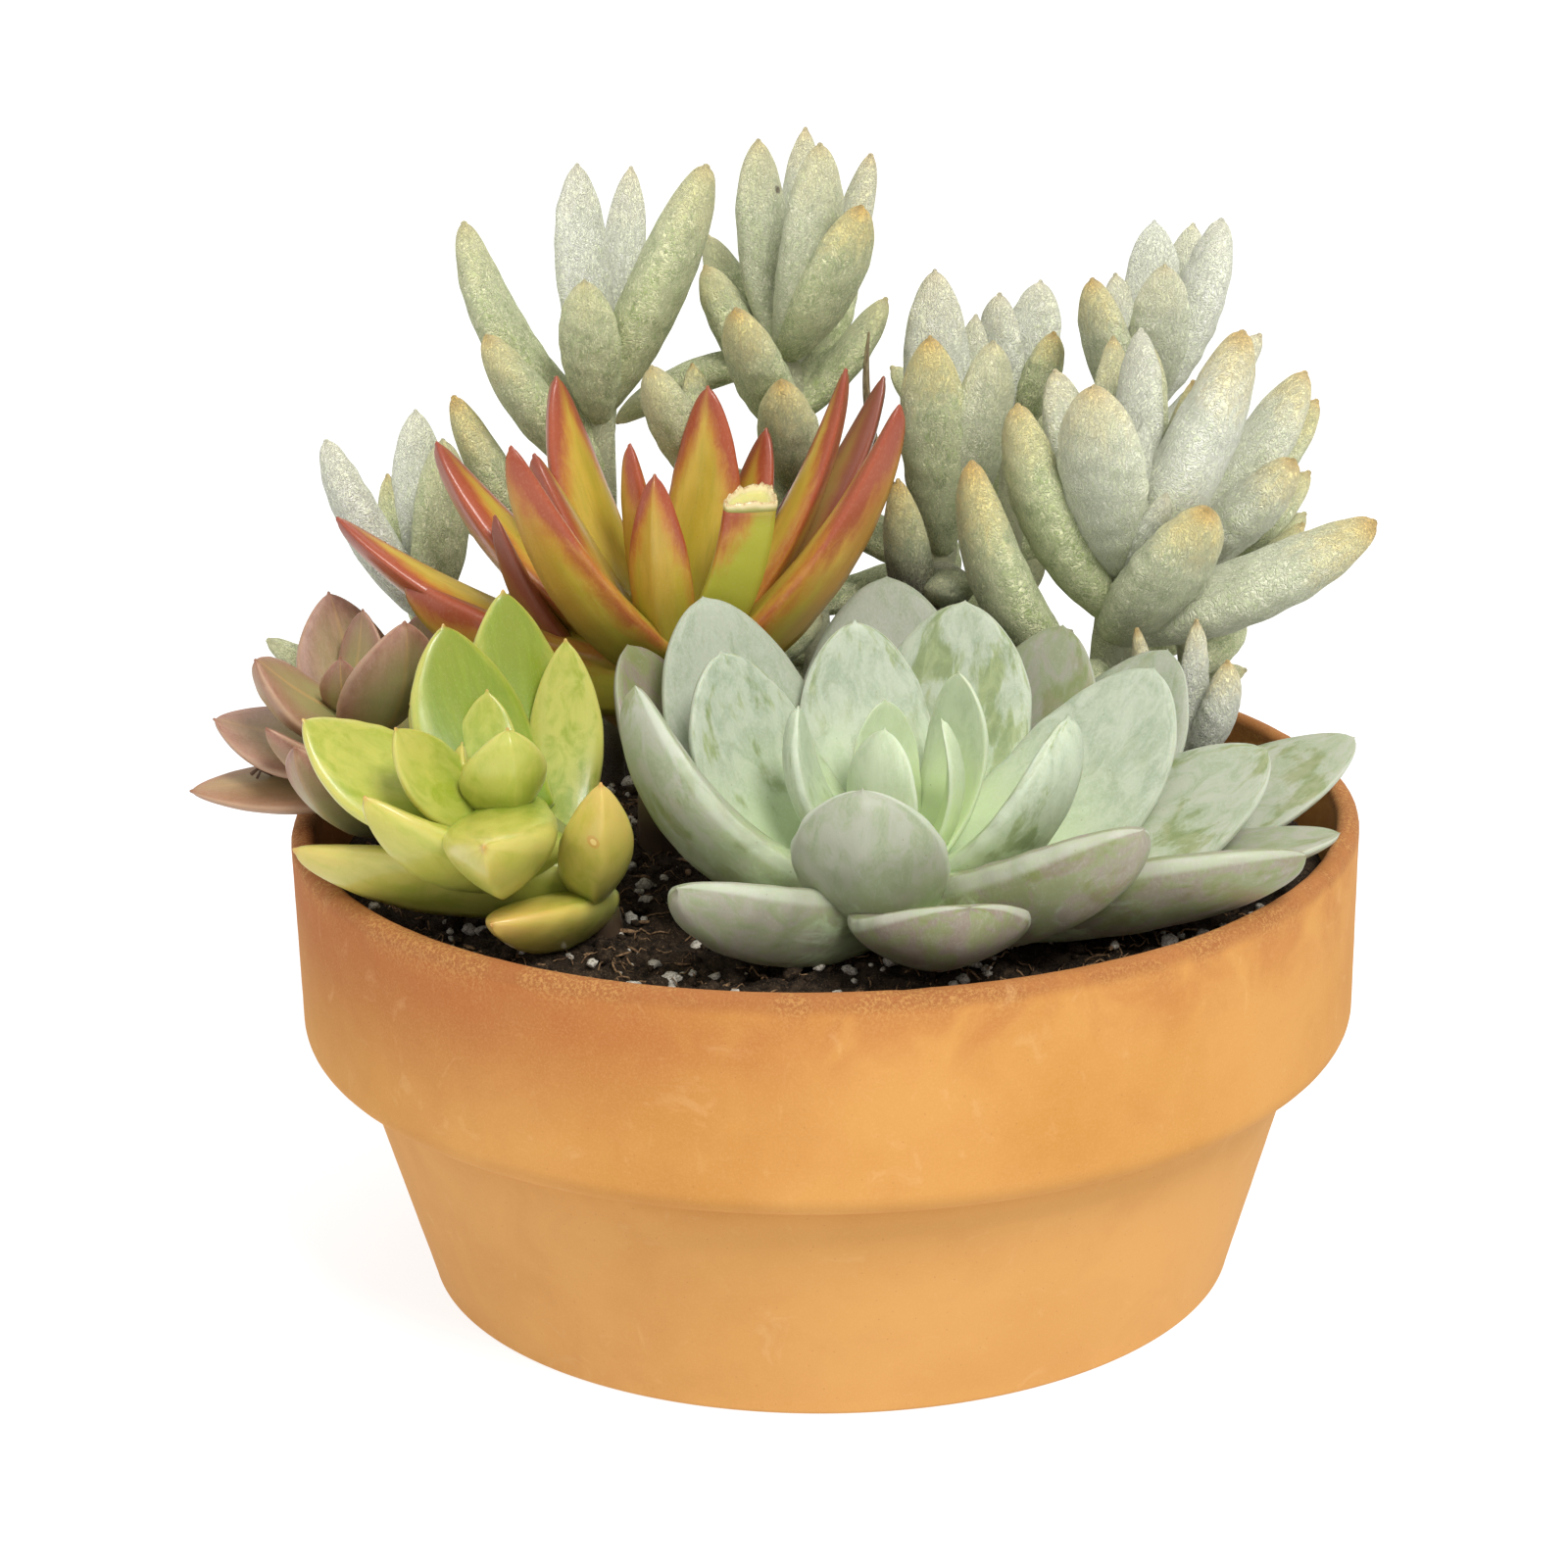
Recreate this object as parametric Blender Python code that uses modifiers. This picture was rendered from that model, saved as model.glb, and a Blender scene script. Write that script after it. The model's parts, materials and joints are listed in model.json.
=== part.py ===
"""A dish garden of succulents in a shallow clay pan.

The pan is an 8 inch terracotta bulb pan with a deep rim band and three drain
holes round the middle of its floor. Potting soil fills it to just under the
lip. In the soil stand a powdery blue rosette, a lime rosette, a bronze
rosette, a red and yellow stonecrop, and leafy stems of woolly senecio.

Sizes are millimetres, turned into metres by MM where a mesh is made. The
origin is the middle of the pan's underside, +Z is up, and the front of the
garden, as the photograph shows it, faces -Y.
"""
import math
from collections import namedtuple

import bmesh
import bpy
from mathutils import Vector

MM = 0.001

# The pan
RIM_RADIUS = 101.5
PAN_HEIGHT = 90.4
BAND_BOTTOM = 48.2
BODY_TOP_RADIUS = 91.3
BASE_RADIUS = 77.8
BAND_CORNER = 5.0
BAND_CORNER_STEPS = 4
BAND_TAPER = 0.7
LIP_INNER_RADIUS = 97.2
FLOOR_THICKNESS = 8.5
WALL_THICKNESS = 6.6
DRAIN_HOLE_RADIUS = 5.0
DRAIN_RING_RADIUS = 30.0
DRAIN_HOLES = 3
DRAIN_TURN = math.radians(95.0)
DRAIN_SIDES = 16
DRAIN_CLEARANCE = 4.0
TURN_STEPS = 36

# The soil
SOIL_TOP = 82.0
SOIL_GAP = 0.35
SOIL_BUMP = 1.2
SOIL_RINGS = (34.0, 68.0)

# Stems stand this deep, in holes of six flats that go a little deeper
STEM_FOOT = 64.0
STEM_STEPS = 3
HOLE_SIDES = 6
HOLE_DEEPER = 0.4
HOLE_ABOVE = 9.0

# How the photograph looks at the garden, in its frame of 1600 x 1600 pixels
FRAME_MIDDLE = 800.0
FOCAL_PIXELS = 4740.0
VIEW_AIM = Vector((-7.6, 0.0, 94.7))
VIEW_DISTANCE = 886.0
VIEW_PITCH = math.radians(18.75)
VIEW_ROLL = math.radians(-1.07)

# How far a leaf's base reaches back into its stem
ROOT_DEPTH = 1.4

# Corners closer than this are joined after solids are united, and edges
# shorter than the second length are dissolved
WELD = 0.025
SHORT_EDGE = 0.005

# Seams closer than this, in metres, are one seam
SEAM = 0.00001

# A section of few flat sides is made this much larger than the round leaf
FACET_FILL = 1.07

UP = Vector((0.0, 0.0, 1.0))
TO_FRONT = Vector((0.0, -math.cos(VIEW_PITCH), math.sin(VIEW_PITCH)))

# A kind of leaf: where along its length it is widest, how wide its base is as
# a share of that, how fast it widens, how pointed its tip is, how thick it is
# for its width, how much of that lies above the middle, how keeled its back
# is, how far its edges lift, how far its midrib bows, and the grid that its
# surface is made on, with the rows drawn towards the tip by crowd.
Kind = namedtuple("Kind", "widest base rise point thick above keel cup bow sides rows crowd")

# A leaf: the pixel where its tip is seen, the tip's depth y, its width, how
# far up the stem it grows, how far its face is turned to the front, and
# what differs from its kind.
Leaf = namedtuple("Leaf", "name seen depth width at show bow thick",
                  defaults=(0.0, None, None))

# Leaves on the side that the photograph doesn't show: how many, the heading
# of the first about the stem (90 degrees is away from the front) and the step
# to the next, how far they lift, their length and width, how far up the
# stem the first grows and the step to the next.
Whorl = namedtuple("Whorl", "count first step lift length width at climb")

# A plant: the kind of its leaves, where it stands in the soil, the top of
# its stem, the stem's radius, the leaves and the whorls behind them.
Plant = namedtuple("Plant", "kind foot top stem leaves whorls")

BLUE = Kind(0.62, 0.50, 1.0, 0.44, 0.42, 0.30, 0.30, 0.12, 0.16, 6, 5, 1.6)
LIME = Kind(0.52, 0.55, 1.0, 0.66, 0.48, 0.30, 0.50, 0.06, 0.12, 6, 5, 1.4)
BRONZE = Kind(0.54, 0.50, 1.0, 0.68, 0.44, 0.30, 0.55, 0.06, 0.10, 6, 5, 1.3)
RED = Kind(0.45, 0.70, 1.0, 0.58, 0.70, 0.28, 0.70, 0.00, 0.08, 6, 5, 1.3)
WOOLLY = Kind(0.58, 0.30, 0.85, 0.43, 0.92, 0.50, 0.00, 0.00, 0.05, 5, 4, 1.5)

BLUE_LEAVES = (
    Leaf("back_left_low", (640, 657), -19, 26, 0.50, show=0.2),
    Leaf("left_long", (648, 699), -50, 24, 0.60, show=-0.35, thick=15),
    Leaf("left_wide", (735, 664), -40, 27, 0.70, show=0.45, thick=9),
    Leaf("back_left_wide", (717, 608), -20, 31, 0.60, show=0.45),
    Leaf("left_small", (815, 720), -54, 13, 0.90, show=0.3, thick=7),
    Leaf("back_wide", (872, 632), -18, 25, 0.85, show=0.3, thick=9),
    Leaf("back_grey", (905, 587), 8, 34, 0.50),
    Leaf("back_green", (985, 612), -5, 32, 0.70),
    Leaf("back_right_low", (1085, 637), 0, 29, 0.50, show=0.2),
    Leaf("heart_left", (903, 713), -42, 13, 1.00, thick=4),
    Leaf("heart_front", (903, 742), -57, 17, 1.00, show=0.2, thick=4.5),
    Leaf("heart_right", (960, 733), -52, 10, 1.00, thick=4),
    Leaf("heart_back", (978, 685), -42, 15, 0.95, thick=5),
    Leaf("right_inner", (1090, 730), -62, 22, 0.90, show=-0.2, thick=11),
    Leaf("right_wide", (1178, 681), -22, 29, 0.75, show=0.5),
    Leaf("right_behind", (1192, 662), -5, 30, 0.60, show=0.4),
    Leaf("right_long", (1294, 764), -30, 27, 0.60, show=0.45, bow=0.10),
    Leaf("far_right", (1383, 752), -8, 24, 0.50, show=0.35, bow=0.06),
    Leaf("front_right", (1168, 846), -77, 23, 0.58, show=-1.2, bow=0.08, thick=17),
    Leaf("over_lip_right", (1334, 872), -61, 24, 0.57, show=-0.9, bow=0.03, thick=15),
    Leaf("right_low", (1368, 850), -36, 20, 0.45, bow=0.02, thick=8),
    Leaf("front_face", (880, 804), -76, 28, 0.55, show=-0.5, thick=12),
    Leaf("front_left", (690, 905), -79, 23, 0.69, show=-1.8, bow=0.11, thick=15),
    Leaf("front_lip", (990, 925), -93, 31, 0.72, show=-1.0, bow=0.13, thick=12),
)

LIME_LEAVES = (
    Leaf("left", (308, 733), -50, 22, 0.93, show=0.5),
    Leaf("over_lip", (298, 866), -46, 22, 0.40, show=-0.6, bow=0.03, thick=14),
    Leaf("front_left", (371, 812), -68, 20, 0.65, show=-0.25, thick=13),
    Leaf("back", (452, 636), -30, 23, 0.80, show=0.2),
    Leaf("back_right", (513, 601), -22, 22, 0.55, show=0.1),
    Leaf("right", (577, 651), -28, 14, 0.60, show=-0.2, thick=9),
    Leaf("inner_back", (497, 703), -36, 11, 1.00),
    Leaf("inner_left", (403, 742), -60, 16, 0.90, show=0.6, thick=8),
    Leaf("inner_right", (518, 742), -58, 16, 0.95, thick=11),
    Leaf("bud_back", (472, 757), -46, 9, 1.00),
    Leaf("bud_front", (478, 775), -50, 9, 1.00),
    Leaf("front", (493, 864), -84, 20, 0.85, show=-1.0, bow=0.05, thick=18),
    Leaf("front_right", (613, 798), -66, 13.5, 0.38, show=-0.3, thick=12),
    Leaf("low_front", (500, 943), -72, 16, 0.22, show=-0.8, bow=0.02, thick=12),
    Leaf("back_left", (418, 716), -25, 17, 0.50),
)

BRONZE_LEAVES = (
    Leaf("over_rim", (193, 807), -8, 17, 0.50, show=0.2, bow=0.02, thick=8),
    Leaf("left_low", (217, 733), -4, 20, 0.78, show=0.35),
    Leaf("left", (260, 672), -14, 20, 0.90, show=0.4),
    Leaf("back", (335, 603), 12, 22, 0.75),
    Leaf("inner_back", (370, 621), 2, 12, 1.00),
    Leaf("right", (413, 633), -22, 19, 0.90),
    Leaf("front_left", (271, 742), -22, 14, 0.60, thick=8),
    Leaf("front", (300, 762), -36, 18, 0.40, show=-0.4, thick=12),
    Leaf("heart", (347, 670), -12, 9, 1.00),
    Leaf("back_right", (432, 622), 11, 16, 0.65),
)

RED_LEAVES = (
    Leaf("left", (343, 527), 5, 14, 0.97),
    Leaf("left_low", (413, 591), 1, 19, 0.92, show=-0.8, thick=15),
    Leaf("back_left", (445, 450), 10, 16, 1.00),
    Leaf("front_left", (521, 454), -22, 17, 1.00),
    Leaf("back_tall", (568, 383), 14, 17, 0.90),
    Leaf("behind_front", (545, 462), 0, 15, 0.85, bow=0.02),
    Leaf("inner_left", (643, 452), -2, 12, 1.00, bow=0.0),
    Leaf("inner", (668, 483), -12, 12, 1.00),
    Leaf("back", (722, 393), 12, 17, 0.95),
    Leaf("back_small", (782, 436), 16, 14, 0.95),
    Leaf("cut", (762, 508), -8, 15, 0.95),
    Leaf("right_tall", (863, 375), 12, 11, 0.85),
    Leaf("right_dark", (902, 383), 28, 13, 0.75),
    Leaf("right_long", (918, 412), -6, 17, 0.80),
    Leaf("right_small", (806, 499), 20, 8, 0.70),
    Leaf("left_dark", (505, 525), -2, 11, 0.60),
)

WOOLLY_PLANTS = {
    "woolly_far_left": Plant(WOOLLY, (-74, 36), (-78, 38, 122), 2.6, (
        Leaf("left", (332, 448), 30, 11.5, 0.95),
        Leaf("small", (395, 483), 48, 7.5, 1.00),
        Leaf("back", (424, 417), 50, 10.5, 1.00),
        Leaf("front", (452, 447), 30, 12.0, 0.90),
        Leaf("low", (272, 652), 22, 9.5, 0.40),
    ), (Whorl(2, 40, 55, 30, 28, 9.5, 0.60, 0.15), Whorl(3, 75, 55, 10, 24, 9.0, 0.25, 0.10))),
    "woolly_left": Plant(WOOLLY, (-42, 42), (-42, 40, 162), 2.8, (
        Leaf("far_left", (473, 225), 44, 12.5, 0.88, bow=0.10),
        Leaf("tall_left", (589, 166), 46, 11.0, 1.00),
        Leaf("front", (596, 285), 28, 12.0, 0.95),
        Leaf("small", (626, 257), 54, 6.5, 1.00),
        Leaf("tall_back", (644, 169), 60, 9.0, 1.00),
        Leaf("tall_right", (722, 167), 33, 15.0, 0.98, bow=0.02),
        Leaf("low_left", (495, 341), 32, 12.5, 0.80),
        Leaf("golden_left", (462, 403), 38, 12, 0.42),
    ), (Whorl(2, 98, 50, 40, 34, 9.5, 0.85, 0.05), Whorl(3, 60, 50, 10, 32, 9.5, 0.35, 0.12),
        Whorl(3, 75, 40, 0, 24, 9.0, 0.14, 0.06))),
    "woolly_middle": Plant(WOOLLY, (0, 48), (-6, 45, 169), 2.8, (
        Leaf("tall_left", (774, 141), 50, 11.5, 0.97),
        Leaf("tall_back", (822, 129), 62, 8.5, 1.00),
        Leaf("tall_front", (837, 145), 36, 13.0, 1.00),
        Leaf("tall_right", (889, 156), 50, 9.5, 0.97),
        Leaf("golden_right", (880, 209), 30, 13.5, 1.00),
        Leaf("left", (719, 270), 50, 12.0, 0.88),
        Leaf("golden_left", (750, 314), 26, 12.0, 0.80),
        Leaf("right", (905, 303), 52, 9.0, 0.85),
        Leaf("long_low", (628, 432), 58, 9.0, 0.97, bow=-0.08),
        Leaf("low_front", (797, 387), 22, 12.5, 0.64),
    ), (Whorl(2, 60, 70, 45, 34, 9.5, 0.88, 0.06), Whorl(3, 40, 50, 5, 30, 9.5, 0.40, 0.12),
        Whorl(3, 55, 40, 0, 24, 9.0, 0.16, 0.06))),
    "woolly_short": Plant(WOOLLY, (-18, 30), (-19, 30, 147), 2.4, (
        Leaf("left", (664, 373), 14, 11.5, 0.97),
        Leaf("back", (706, 370), 38, 7.0, 1.00),
        Leaf("front", (700, 432), 20, 9.5, 0.88),
    ), (Whorl(4, 20, 60, 25, 22, 9.0, 0.40, 0.14),)),
    "woolly_right_middle": Plant(WOOLLY, (22, 36), (25, 38, 136), 2.8, (
        Leaf("tall", (954, 274), 46, 13.5, 0.97, bow=0.04),
        Leaf("golden_front", (949, 342), 26, 13.5, 0.90, bow=0.04),
        Leaf("back", (996, 320), 52, 9.0, 1.00),
        Leaf("right", (1014, 347), 28, 13.5, 0.97),
        Leaf("withered", (916, 488), 14, 9.5, 0.45),
        Leaf("blunt", (972, 600), 12, 10.5, 0.80),
        Leaf("dried", (887, 338), 33, 4.0, 0.90, bow=0.13, thick=1.6),
    ), (Whorl(3, 40, 50, 15, 30, 10.0, 0.60, 0.12),)),
    "woolly_back_right": Plant(WOOLLY, (38, 64), (40, 62, 152), 2.6, (
        Leaf("left", (1020, 298), 60, 10.5, 0.95),
        Leaf("tall", (1062, 285), 70, 11.5, 1.00),
        Leaf("brown", (1076, 338), 56, 9.5, 0.95),
    ), (Whorl(3, 30, 60, 30, 32, 9.5, 0.55, 0.15), Whorl(3, 55, 42, 5, 26, 9.0, 0.20, 0.08))),
    "woolly_right_tall": Plant(WOOLLY, (60, 54), (66, 56, 155), 2.8, (
        Leaf("left", (1114, 283), 46, 11.5, 0.92),
        Leaf("left_back", (1138, 278), 64, 9.0, 0.97),
        Leaf("tall_white", (1178, 224), 68, 11.5, 1.00),
        Leaf("tall_back", (1218, 227), 76, 10.0, 1.00),
        Leaf("tall_right", (1247, 222), 58, 13.0, 1.00),
        Leaf("front", (1189, 269), 44, 12.0, 1.00),
        Leaf("right_back", (1287, 340), 64, 10.0, 0.85),
    ), (Whorl(3, 20, 55, 15, 32, 9.5, 0.50, 0.14), Whorl(3, 0, 45, 5, 26, 9.0, 0.20, 0.08))),
    "woolly_right_front": Plant(WOOLLY, (54, 22), (58, 20, 133), 3.2, (
        Leaf("left_tall", (1038, 411), 14, 15.0, 0.80, bow=0.08),
        Leaf("back_left", (1076, 376), 30, 12.0, 1.00),
        Leaf("front_left", (1116, 392), 4, 17.0, 0.98),
        Leaf("back", (1136, 342), 38, 9.0, 1.00),
        Leaf("white", (1164, 334), 24, 10.5, 1.00, bow=0.04),
        Leaf("right_inner", (1170, 346), 34, 11.5, 1.00, bow=0.04),
        Leaf("bud_white", (1167, 430), 12, 6.0, 1.00, bow=0.03),
        Leaf("bud_golden", (1218, 387), 24, 7.0, 1.00),
        Leaf("large", (1269, 336), 14, 17.5, 0.95),
        Leaf("front_golden", (1234, 518), 0, 17.0, 0.72),
        Leaf("small_white", (1191, 503), 6, 7.0, 0.92),
        Leaf("golden_low_left", (991, 469), 8, 15, 0.38, bow=0.10),
        Leaf("far_right", (1405, 531), 10, 17.0, 0.72, bow=0.06),
    ), (Whorl(3, 150, 40, 5, 20, 9.0, 0.35, 0.10),)),
    "woolly_far_right": Plant(WOOLLY, (74, 40), (71, 36, 132), 2.6, (
        Leaf("top", (1333, 378), 44, 13.5, 1.00),
        Leaf("upper", (1345, 407), 52, 11.0, 0.97),
        Leaf("middle", (1322, 468), 28, 14.5, 0.92),
        Leaf("behind", (1337, 480), 46, 9.5, 0.80),
        Leaf("lowest", (1331, 533), 34, 8.0, 0.65),
    ), (Whorl(2, 15, 50, 35, 30, 9.5, 0.70, 0.15), Whorl(1, 60, 50, 10, 24, 9.0, 0.45, 0.10))),
    "woolly_sprig": Plant(WOOLLY, (69, 8), (70, 8, 96), 2.2, (
        Leaf("left", (1160, 640), 6, 6.0, 0.80),
        Leaf("middle", (1221, 631), 6, 6.0, 1.00, bow=0.02),
        Leaf("right", (1253, 673), 2, 9.0, 1.00, bow=0.10),
    ), ()),
}

PLANTS = {
    "blue_rosette": Plant(BLUE, (10, -50), (14, -52, 95), 5.0, BLUE_LEAVES,
                          (Whorl(5, 35, 27, 20, 54, 26, 0.60, 0.04),)),
    "lime_rosette": Plant(LIME, (-41, -43), (-62, -46, 110), 3.4, LIME_LEAVES,
                          (Whorl(2, 108, 40, 25, 27, 16, 0.31, 0.06),)),
    "bronze_rosette": Plant(BRONZE, (-76, 2), (-90, -2, 112), 3.0, BRONZE_LEAVES,
                            (Whorl(3, 60, 40, 15, 22, 14, 0.35, 0.10),)),
    "red_stonecrop": Plant(RED, (-32, 5), (-28, -1, 121), 4.0, RED_LEAVES,
                           (Whorl(5, 18, 24, 40, 36, 11, 0.60, 0.04),)),
    **WOOLLY_PLANTS,
}


# Where the photograph shows things

def point_seen_at(pixel, depth):
    """The place that the photograph shows at a pixel, at a depth y."""
    level = Vector((1.0, 0.0, 0.0))
    tall = Vector((0.0, math.sin(VIEW_PITCH), math.cos(VIEW_PITCH)))
    back = Vector((0.0, -math.cos(VIEW_PITCH), math.sin(VIEW_PITCH)))
    right = level * math.cos(VIEW_ROLL) + tall * math.sin(VIEW_ROLL)
    up = tall * math.cos(VIEW_ROLL) - level * math.sin(VIEW_ROLL)
    across = (pixel[0] - FRAME_MIDDLE) / FOCAL_PIXELS
    down = (pixel[1] - FRAME_MIDDLE) / FOCAL_PIXELS
    ray = right * across - up * down - back
    eye = VIEW_AIM + back * VIEW_DISTANCE
    return eye + ray * ((depth - eye.y) / ray.y)


# Stems and where leaves grow on them

def stem_point(plant, share):
    """A point on a stem, from 0 at the soil to 1 at its top."""
    foot = Vector((*plant.foot, SOIL_TOP))
    top = Vector(plant.top)
    bend = Vector((*plant.foot, (SOIL_TOP + top.z) / 2))
    rest = 1.0 - share
    return foot * rest * rest + bend * 2.0 * rest * share + top * share * share


def all_leaves(plant):
    """The plant's leaves, each with the place of its tip."""
    found = [(leaf, point_seen_at(leaf.seen, leaf.depth)) for leaf in plant.leaves]
    for whorl in plant.whorls:
        for index in range(whorl.count):
            at = whorl.at + whorl.climb * index
            heading = math.radians(whorl.first + whorl.step * index)
            lift = math.radians(whorl.lift)
            aim = Vector((math.cos(heading) * math.cos(lift), math.sin(heading) * math.cos(lift),
                          math.sin(lift)))
            name = "hidden_%d_%d" % (whorl.first, index)
            leaf = Leaf(name, None, None, whorl.width, at)
            found.append((leaf, stem_point(plant, at) + aim * whorl.length))
    return found


def leaf_route(plant, leaf, tip):
    """The base, bend and tip of a leaf's midrib, and the way it heads."""
    base = stem_point(plant, leaf.at)
    base = base - (tip - base).normalized() * ROOT_DEPTH
    chord = tip - base
    outward = (chord - UP * chord.dot(UP)).normalized()
    face = (UP * chord.dot(outward) - outward * chord.dot(UP)).normalized()
    bow = plant.kind.bow if leaf.bow is None else leaf.bow
    bend = (base + tip) / 2 - face * bow * 2 * chord.length
    return base, bend, tip, outward


def route_point(route, share):
    """A point on the midrib and its direction there."""
    base, bend, tip, outward = route
    rest = 1.0 - share
    point = base * rest * rest + bend * 2.0 * rest * share + tip * share * share
    along = ((bend - base) * rest + (tip - bend) * share).normalized()
    return point, along


# The surface of a leaf

def width_share(kind, share):
    """How wide a leaf is at a share of its length, as a part of its width."""
    if share < kind.widest:
        rise = math.sin(math.pi / 2 * share / kind.widest) ** kind.rise
        return kind.base + (1.0 - kind.base) * rise
    fall = math.cos(math.pi / 2 * (share - kind.widest) / (1.0 - kind.widest))
    return max(fall, 0.0) ** kind.point


def leaf_point(plant, leaf, route, share, turn):
    """A point on a leaf's surface: share along it, turn round its section."""
    kind = plant.kind
    point, along = route_point(route, share)
    outward = route[3]
    face = (UP * along.dot(outward) - outward * along.dot(UP)).normalized()
    face = face * (1.0 - leaf.show) + TO_FRONT * leaf.show
    side = along.cross(face).normalized()
    face = side.cross(along)
    wide = width_share(kind, share)
    half = leaf.width / 2 * wide * FACET_FILL
    thick = (leaf.thick or leaf.width * kind.thick) * FACET_FILL
    deep = thick * wide ** 0.7 * (1.0 - 0.3 * share)
    across = math.cos(turn)
    round_part = abs(math.sin(turn))
    if math.sin(turn) >= 0.0:
        height = deep * kind.above * round_part
    else:
        keeled = 1.0 - abs(across)
        height = -deep * (1.0 - kind.above) * (kind.keel * keeled + (1.0 - kind.keel) * round_part)
    lift = kind.cup * half * across * across
    return point + side * half * across + face * (height + lift)


def leaf_mesh(plant, leaf, tip):
    """A leaf as a sphere whose rings are laid again along its midrib."""
    kind = plant.kind
    route = leaf_route(plant, leaf, tip)
    shape = bmesh.new()
    bmesh.ops.create_uvsphere(shape, u_segments=kind.sides, v_segments=kind.rows, radius=1.0)
    for vert in shape.verts:
        share = math.acos(max(-1.0, min(1.0, -vert.co.z))) / math.pi
        turn = math.atan2(vert.co.y, vert.co.x)
        share = 1.0 - (1.0 - share) ** kind.crowd
        vert.co = leaf_point(plant, leaf, route, share, turn) * MM
    bmesh.ops.recalc_face_normals(shape, faces=shape.faces)
    mesh = bpy.data.meshes.new(leaf.name)
    shape.to_mesh(mesh)
    shape.free()
    return mesh


# The solids

def add_object(name, mesh, collection):
    """An object that holds a mesh, in a collection."""
    thing = bpy.data.objects.new(name, mesh)
    collection.objects.link(thing)
    return thing


def finished_mesh(thing):
    """A copy of an object's mesh with its modifiers applied."""
    view = bpy.context.evaluated_depsgraph_get()
    view.update()
    return bpy.data.meshes.new_from_object(thing.evaluated_get(view))


def clay(name, color, roughness):
    """A plain material in one colour."""
    material = bpy.data.materials.new(name)
    material.use_nodes = True
    shader = material.node_tree.nodes["Principled BSDF"]
    shader.inputs["Base Color"].default_value = (*color, 1.0)
    shader.inputs["Roughness"].default_value = roughness
    material.diffuse_color = (*color, 1.0)
    return material


def turned(name, profile, collection):
    """A solid turned round Z from a profile of (radius, height) points."""
    mesh = bpy.data.meshes.new(name)
    points = [(radius * MM, 0.0, height * MM) for radius, height in profile]
    edges = [(index, index + 1) for index in range(len(points) - 1)]
    mesh.from_pydata(points, edges, [])
    thing = add_object(name, mesh, collection)
    screw = thing.modifiers.new("turn", "SCREW")
    screw.steps = TURN_STEPS
    screw.render_steps = TURN_STEPS
    screw.use_merge_vertices = True
    screw.merge_threshold = SEAM
    return thing


def inner_wall(offset):
    """The inside of the pan as a profile from its floor up, moved inwards."""
    floor = FLOOR_THICKNESS + offset
    wall = BODY_TOP_RADIUS - WALL_THICKNESS - offset
    low = BASE_RADIUS - WALL_THICKNESS - offset
    lip = LIP_INNER_RADIUS - offset
    return [(low - 3.0, floor), (low, floor + 1.2), (low + 1.4, floor + 4.5), (wall, BAND_BOTTOM - 3.0),
            (wall + 3.4, BAND_BOTTOM + 2.5), (lip - 1.2, PAN_HEIGHT - 14.0)]


def pan_profile():
    """The pan's outline: up its inside, over the lip and down its outside."""
    lip = [(LIP_INNER_RADIUS, PAN_HEIGHT - 2.4), (LIP_INNER_RADIUS + 1.2, PAN_HEIGHT),
           (RIM_RADIUS - 1.9, PAN_HEIGHT - 0.2), (RIM_RADIUS - 0.5, PAN_HEIGHT - 1.6),
           (RIM_RADIUS, PAN_HEIGHT - 4.4)]
    band = []
    for step in range(BAND_CORNER_STEPS + 1):
        turn = math.pi / 2 * step / BAND_CORNER_STEPS
        band.append((RIM_RADIUS - BAND_TAPER - BAND_CORNER * (1.0 - math.cos(turn)),
                     BAND_BOTTOM + BAND_CORNER * (1.0 - math.sin(turn))))
    band += [(BODY_TOP_RADIUS + 1.0, BAND_BOTTOM), (BODY_TOP_RADIUS, BAND_BOTTOM - 1.4)]
    foot = [(BASE_RADIUS + 0.1, 1.2), (BASE_RADIUS - 0.9, 0.0), (0.0, 0.0)]
    return [(0.0, FLOOR_THICKNESS)] + inner_wall(0.0) + lip + band + foot


def add_pan(parts, cutters):
    """The pan, with its drain holes."""
    pan = turned("pot", pan_profile(), parts)
    for index in range(DRAIN_HOLES):
        angle = math.tau * index / DRAIN_HOLES + DRAIN_TURN
        place = (DRAIN_RING_RADIUS * math.cos(angle), DRAIN_RING_RADIUS * math.sin(angle))
        drill = add_cutter("drain_%d" % index, place, DRAIN_HOLE_RADIUS, -DRAIN_CLEARANCE,
                           FLOOR_THICKNESS + DRAIN_CLEARANCE, DRAIN_SIDES, cutters)
        hole = pan.modifiers.new("drain_%d" % index, "BOOLEAN")
        hole.operation = "DIFFERENCE"
        hole.object = drill
    pan.data.materials.append(clay("terracotta", (0.68, 0.32, 0.12), 0.85))
    return pan


def add_cutter(name, place, radius, low, high, sides, cutters):
    """An upright cylinder that cuts a hole and isn't part of the garden."""
    shape = bmesh.new()
    bmesh.ops.create_cone(shape, cap_ends=True, segments=sides, radius1=radius * MM,
                          radius2=radius * MM, depth=(high - low) * MM)
    mesh = bpy.data.meshes.new(name)
    shape.to_mesh(mesh)
    shape.free()
    cutter = add_object(name, mesh, cutters)
    cutter.location = (place[0] * MM, place[1] * MM, (low + high) / 2 * MM)
    cutter.hide_render = True
    cutter.display_type = "WIRE"
    return cutter


def soil_height(x, y):
    """The soil's top, a little uneven."""
    return SOIL_TOP + SOIL_BUMP * math.sin(x / 11.0 + 0.6) * math.cos(y / 9.0) - 0.4


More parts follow.
